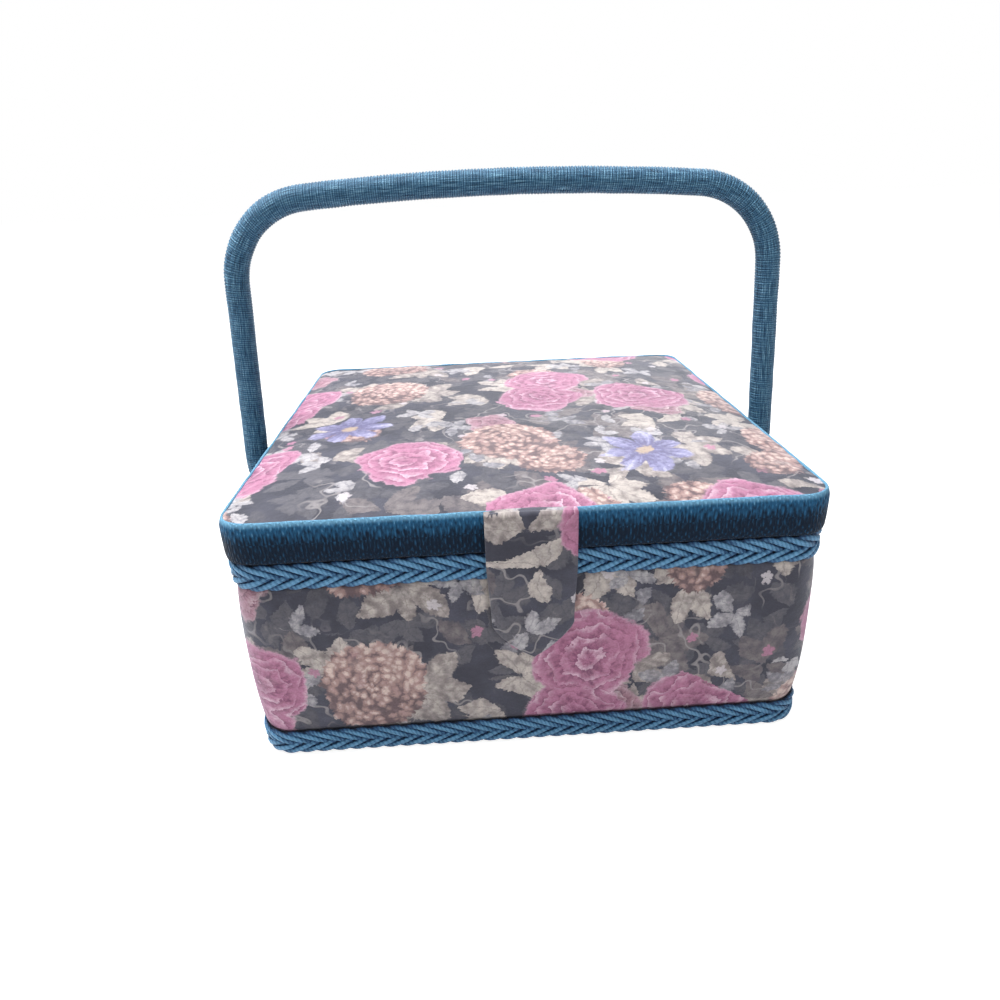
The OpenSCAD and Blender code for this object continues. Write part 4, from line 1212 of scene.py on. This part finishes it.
def wall_lining(side):
    """Pad on one wall, with a crown of 1 - m^5 that faces the middle of the box."""
    low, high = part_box("lining_" + side)
    turn = {"front": 0, "right": 90, "back": 180, "left": 270}[side]
    c, s = np.cos(np.radians(turn)), np.sin(np.radians(turn))
    inner_wall = BOX_HALF - WALL_T
    half_h = (high.z - low.z) / 2 - 0.05 * MM
    places, m = plan(inner_wall - 2.2 * MM, half_h, 2.5 * MM, 61)
    ruche = 0.25 * MM * ripples(places[..., 0] / MM, places[..., 1] / MM * 0.25, 14, 50 + turn)
    upper = WALL_PAD_EDGE + WALL_PAD_CROWN * (1 - m ** 5) + ruche * (1 - m ** 4)
    spot = (s * inner_wall, -c * inner_wall, (low.z + high.z) / 2)
    axes = ((c, s, 0), (0, 0, 1), (-s, c, 0))
    return pad_mesh("wall_pad_" + side, places * [-1, 1], upper, SEAM, spot, axes)


def base_lining():
    """Pad on the bottom with a sewn diamond pattern: a valley of |sin|^0.45 on each line of stitches."""
    low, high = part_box("base_lining")
    places, m = plan(high.x, high.y, 4 * MM, 121)
    x, y = places[..., 0], places[..., 1]
    lines = [np.abs(np.sin(np.pi * way / STITCH_PITCH)) for way in (x + y, x - y)]
    valley = np.minimum(*lines)
    upper = low.z + FLOOR_PAD_EDGE + FLOOR_PAD_CROWN * (1 - m ** 8) * valley ** 0.45
    return pad_mesh("floor_pad", places, upper, low.z + SEAM)


for side in ("front", "right", "back", "left"):
    show(wall_lining(side), "box", LINING, ["lining_" + side])
show(base_lining(), "box", LINING, ["base_lining"])

# %% [markdown]
# ## Inside the lid
#
# The open lid shows a padded satin lining, a strip round the rim, a gathered pocket with elastic in
# its mouth and a small stuffed pincushion. The pocket is a wide sheet on a narrow elastic, so it falls
# into folds that are deep at the mouth and fade out towards the seam. A simulated elastic would
# draw it together too, but sines give the folds their even depth and keep the sheet's ends flat.

# %% Lid lining and rim
LINING_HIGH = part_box("lid_lining")[1]
DOWN = ((1, 0, 0), (0, -1, 0), (0, 0, -1))
LID_PAD_EDGE, LID_PAD_CROWN = 1.6 * MM, 2.2 * MM


def lid_lining():
    """Pad under the lid's board, with a crown of 1 - m^6 that points down, out of the open lid."""
    half = LINING_HIGH.x
    places, m = plan(half, half, 7 * MM, 121)
    soft = 0.3 * MM * ripples(places[..., 0] / MM, places[..., 1] / MM, 48, 61)
    upper = LID_PAD_EDGE + LID_PAD_CROWN * (1 - m ** 6) + soft * (1 - m ** 4)
    return pad_mesh("lid_pad", places, upper, SEAM, (0, 0, LINING_HIGH.z), DOWN)


def lid_rim_lining():
    """Satin strip inside the rim: a flat oval section with small gathers along it."""
    loop, s, angle, middle_z, half_h = lid_ring("lid_rim_lining", 900, 14)
    wide, tall = oval(angle, 0.6, 0.6)
    gather = 0.16 * MM * ripples(s / MM, 0 * angle, 6, 71) * (wide < 0) * (1 - np.abs(tall) ** 2)
    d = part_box("lid_rim_lining")[1].x - LID_HALF - 0.5 * MM + 0.48 * MM * wide + gather
    mesh = trim_mesh("rim_strip", loop, d, middle_z + half_h * tall + 0 * s, 24 * MM)
    piece = show(mesh, "lid", LINING, ["lid_rim_lining"])


show(lid_lining(), "lid", LINING, ["lid_lining"])
lid_rim_lining()

# %% Pocket and elastic
POCKET_FOLDS = 17


def folded_cloth(name, node, sunk, thick, depth_at, folds, seed):
    """Thin closed sheet that hangs in a node's place, a little under its top: folds are sines across X.

    depth_at(v) gives how deep the folds are at v, from 0 at the node's low Y to 1 at its high Y."""
    low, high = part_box(node)
    u, v = np.meshgrid(np.linspace(0, 1, folds * 16 + 1), np.linspace(0, 1, 41), indexing="ij")
    waves = np.sin(2 * np.pi * folds * u + 0.9 * ripples(3 * u, 2 * v, 1.3, seed))
    flat = np.minimum(1, 12 * np.minimum(u, 1 - u))
    drop = depth_at(v) * (0.5 + 0.5 * waves) * flat
    fan = 0.4 * MM * np.sin(4 * np.pi * folds * u) * flat
    x = low.x + (high.x - low.x) * u + fan
    y = low.y + (high.y - low.y) * v
    upper = np.stack([x, y, high.z - sunk - drop], -1)
    under = upper - np.array([0, 0, thick])
    section = np.concatenate([upper, under[:, ::-1]], 1)
    uv_v = np.linspace(0, 2 * (high.y - low.y), section.shape[1] + 1)
    uv = pairs(np.linspace(low.x, high.x, len(u)), uv_v)
    return grid_mesh(name, section[:, ::-1], uv, wrap_v=True, caps=[(0, False), (len(u) - 1, True)])


def lid_pocket(casing):
    """Pocket whose folds are deep at the mouth and fade out as (1 - v)^1.2 towards the seam."""
    low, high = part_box("lid_pocket")
    depth = high.z - low.z - 0.8 * MM
    mesh = folded_cloth("pocket_folds", "lid_pocket", 0.1 * MM, 0.5 * MM,
                        lambda v: depth * (0.25 + 0.75 * (1 - v) ** 1.2) * between(1 - v, 0, 0.06),
                        POCKET_FOLDS, 81)
    piece = show(mesh, "lid", POCKET, ["lid_pocket"])


def elastic_casing():
    """Casing with three small gathers to each fold of the pocket, deepest in the middle."""
    mesh = folded_cloth("elastic_casing", "pocket_elastic", 0.2 * MM, 1.0 * MM,
                        lambda v: 0.9 * MM * between(v, -0.3, 0.3) * between(1 - v, -0.3, 0.3),
                        3 * POCKET_FOLDS, 83)
    return show(mesh, "lid", RIBBED, ["pocket_elastic"])


lid_pocket(elastic_casing())

# %% [markdown]
# ## Stuffing the pincushion
#
# The pincushion is filled until its cloth is tight. A crown like the lid's would look too even for
# that. So it is really stuffed here: Blender's cloth swells a thin pad with a pressure inside, and
# then the tuft is drawn in where the stitch pulls.

# %% Pincushion
SIM_FRAMES = 20


def points_of(mesh):
    """All points of a mesh as one array."""
    flat = np.empty(3 * len(mesh.vertices), np.float32)
    mesh.vertices.foreach_get("co", flat)
    return flat.reshape(-1, 3)


def evaluated(piece):
    """Copy of a piece's mesh as its modifiers leave it."""
    return bpy.data.meshes.new_from_object(piece.evaluated_get(bpy.context.evaluated_depsgraph_get()))


def inflate(piece, voxel, pressure, cap):
    """Stuff a closed pad: even voxels, then frames of cloth with pressure inside and no gravity.

    A point's move is cut to cap, and the finished mesh gets one subdivision. Nothing stays live."""
    remesh = piece.modifiers.new("even_grid", "REMESH")
    remesh.mode = "VOXEL"
    remesh.voxel_size = voxel
    even = evaluated(piece)
    piece.modifiers.clear()
    piece.data = even
    start = points_of(even)
    cloth = piece.modifiers.new("stuffing", "CLOTH")
    cloth.settings.use_pressure = True
    cloth.settings.uniform_pressure_force = pressure
    cloth.settings.effector_weights.gravity = 0
    for number in range(1, SIM_FRAMES + 1):
        bpy.context.scene.frame_set(number)
    blown = evaluated(piece)
    move = points_of(blown) - start
    piece.modifiers.clear()
    bpy.context.scene.frame_set(1)
    reach = np.linalg.norm(move, axis=1, keepdims=True)
    move *= np.minimum(1, cap / np.maximum(reach, 1e-9))
    even.vertices.foreach_set("co", (start + move).ravel())
    even.update()
    piece.modifiers.new("smooth", "SUBSURF")
    piece.data = evaluated(piece)
    piece.modifiers.clear()
    print("stuffed", piece.name, "largest move", round(float(reach.max()) * 1000, 2), "mm")


def pincushion():
    """Stuffed square that hangs from the lid's lining, with a tuft where a stitch pulls it in.

    It starts as a thinner pad. After the stuffing, the tuft and its creases are drawn in by formula."""
    low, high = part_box("pincushion")
    half = (high.x - low.x) / 2
    height = high.z - low.z
    spot = ((low.x + high.x) / 2, (low.y + high.y) / 2, high.z)
    places, m = plan(half - 0.6 * MM, half - 0.6 * MM, 9 * MM, 81)
    upper = 0.8 * MM + 0.62 * height * (1 - m ** 3.2) ** 0.6
    mesh = pad_mesh("stuffed_cushion", places, upper, 0.3 * MM, spot, DOWN)
    piece = show(mesh, "lid", ROSE_SATIN, ["pincushion"])
    inflate(piece, 1.6 * MM, 4.0, 4 * MM)
    points = points_of(piece.data)
    x, y = (points[:, 0] - spot[0]) / half, (points[:, 1] - spot[1]) / half
    down = np.clip((spot[2] - points[:, 2]) / height, 0, 1)
    tuft = np.exp(-(x ** 2 + y ** 2) / 0.03)
    creases = 0.05 * np.cos(8 * np.arctan2(y, x)) * np.exp(-(x ** 2 + y ** 2) / 0.18) * (1 - tuft)
    points[:, 2] = spot[2] - height * np.clip(down * (1 - 0.5 * tuft) + down * creases, 0.01, 0.99)
    points[:, :2] = np.clip(points[:, :2], low[:2], high[:2])
    piece.data.vertices.foreach_set("co", points.ravel())
    piece.data.update()


pincushion()

# %% [markdown]
# ## Floor, lamps and background
#
# The photograph's background is pure white and its light is soft and comes from above. The lamps are
# large and near, and the world fills the shadows. The floor and the world look white to the
# camera by themselves, through the light path, so no extra light falls on the object for it.
# A shadow catcher on a clear background would do too, but a real floor is also mirrored in the
# metal.

# %% Stage
FLOOR_SIZE = 6.0
FLOOR_GLOW = 0.88
WORLD_LIGHT = 0.24


def seen_by_eye(tree):
    """1 for what the camera, a mirror or glass sees directly, and 0 for light that is scattered."""
    path = tree.nodes.new("ShaderNodeLightPath")
    kinds = ("Is Camera Ray", "Is Glossy Ray", "Is Transmission Ray")
    camera_ray, glossy, through = (Value(tree, path.outputs[kind]) for kind in kinds)
    return camera_ray.most(glossy).most(through)


def floor():
    """Pale floor: to the eye it glows, and on top of the glow a grey takes the object's shadow."""
    t = np.linspace(-FLOOR_SIZE, FLOOR_SIZE, 2)
    flat = pairs(t, t)
    points = np.concatenate([flat, np.full((2, 2, 1), -0.2 * MM)], -1)
    mesh = grid_mesh("floor", points, flat)
    f = Finish("pale_floor").set(Base_Color=(0.8, 0.8, 0.8, 1), Roughness=0.9)
    shadow = f.node("ShaderNodeBsdfDiffuse", {"Color": (0.55, 0.55, 0.56, 1)})
    glow = f.node("ShaderNodeEmission", {"Strength": FLOOR_GLOW})
    both = f.node("ShaderNodeAddShader", {0: shadow.outputs[0], 1: glow.outputs[0]})
    choose = f.node("ShaderNodeMixShader", {0: seen_by_eye(f.tree), 1: f.shader.outputs[0],
                                            2: both.outputs[0]})
    plug(f.tree, choose.outputs[0], f.tree.nodes["Material Output"].inputs["Surface"])
    mesh.materials.append(f.material)
    add("floor", mesh)


def white_world():
    """White to the eye, and an even soft light for everything else."""
    world = bpy.data.worlds.new("studio")
    world.use_nodes = True
    bpy.context.scene.world = world
    tree = world.node_tree
    sky = tree.nodes["Background"].inputs
    plug(tree, (1, 1, 1, 1), sky["Color"])
    plug(tree, seen_by_eye(tree) * (1 - WORLD_LIGHT) + WORLD_LIGHT, sky["Strength"])


def lamp(name, place, target, size, watts):
    """Square area lamp that faces its target: its -Z axis is turned to the line between the two."""
    data = bpy.data.lights.new(name, "AREA")
    data.size = size
    data.energy = watts
    item = add(name, data)
    reach = np.array(target, float) - np.array(place, float)
    yaw = np.arctan2(reach[1], reach[0]) - np.pi / 2
    tilt = np.arctan2(np.hypot(reach[0], reach[1]), -reach[2])
    turn = Matrix.Rotation(yaw, 4, "Z") @ Matrix.Rotation(tilt, 4, "X")
    item.matrix_world = Matrix.Translation(place) @ turn


floor()
white_world()
lamp("key_lamp", (-0.35, 0.05, 0.95), (0, 0, 0.06), 0.55, 17.5)
lamp("back_lamp", (0.3, 0.8, 0.6), (0, 0, 0.1), 0.7, 5.0)
lamp("front_lamp", (0.35, -0.95, 0.45), (0, 0, 0.06), 0.6, 1.9)
bpy.context.scene.view_settings.view_transform = "Standard"
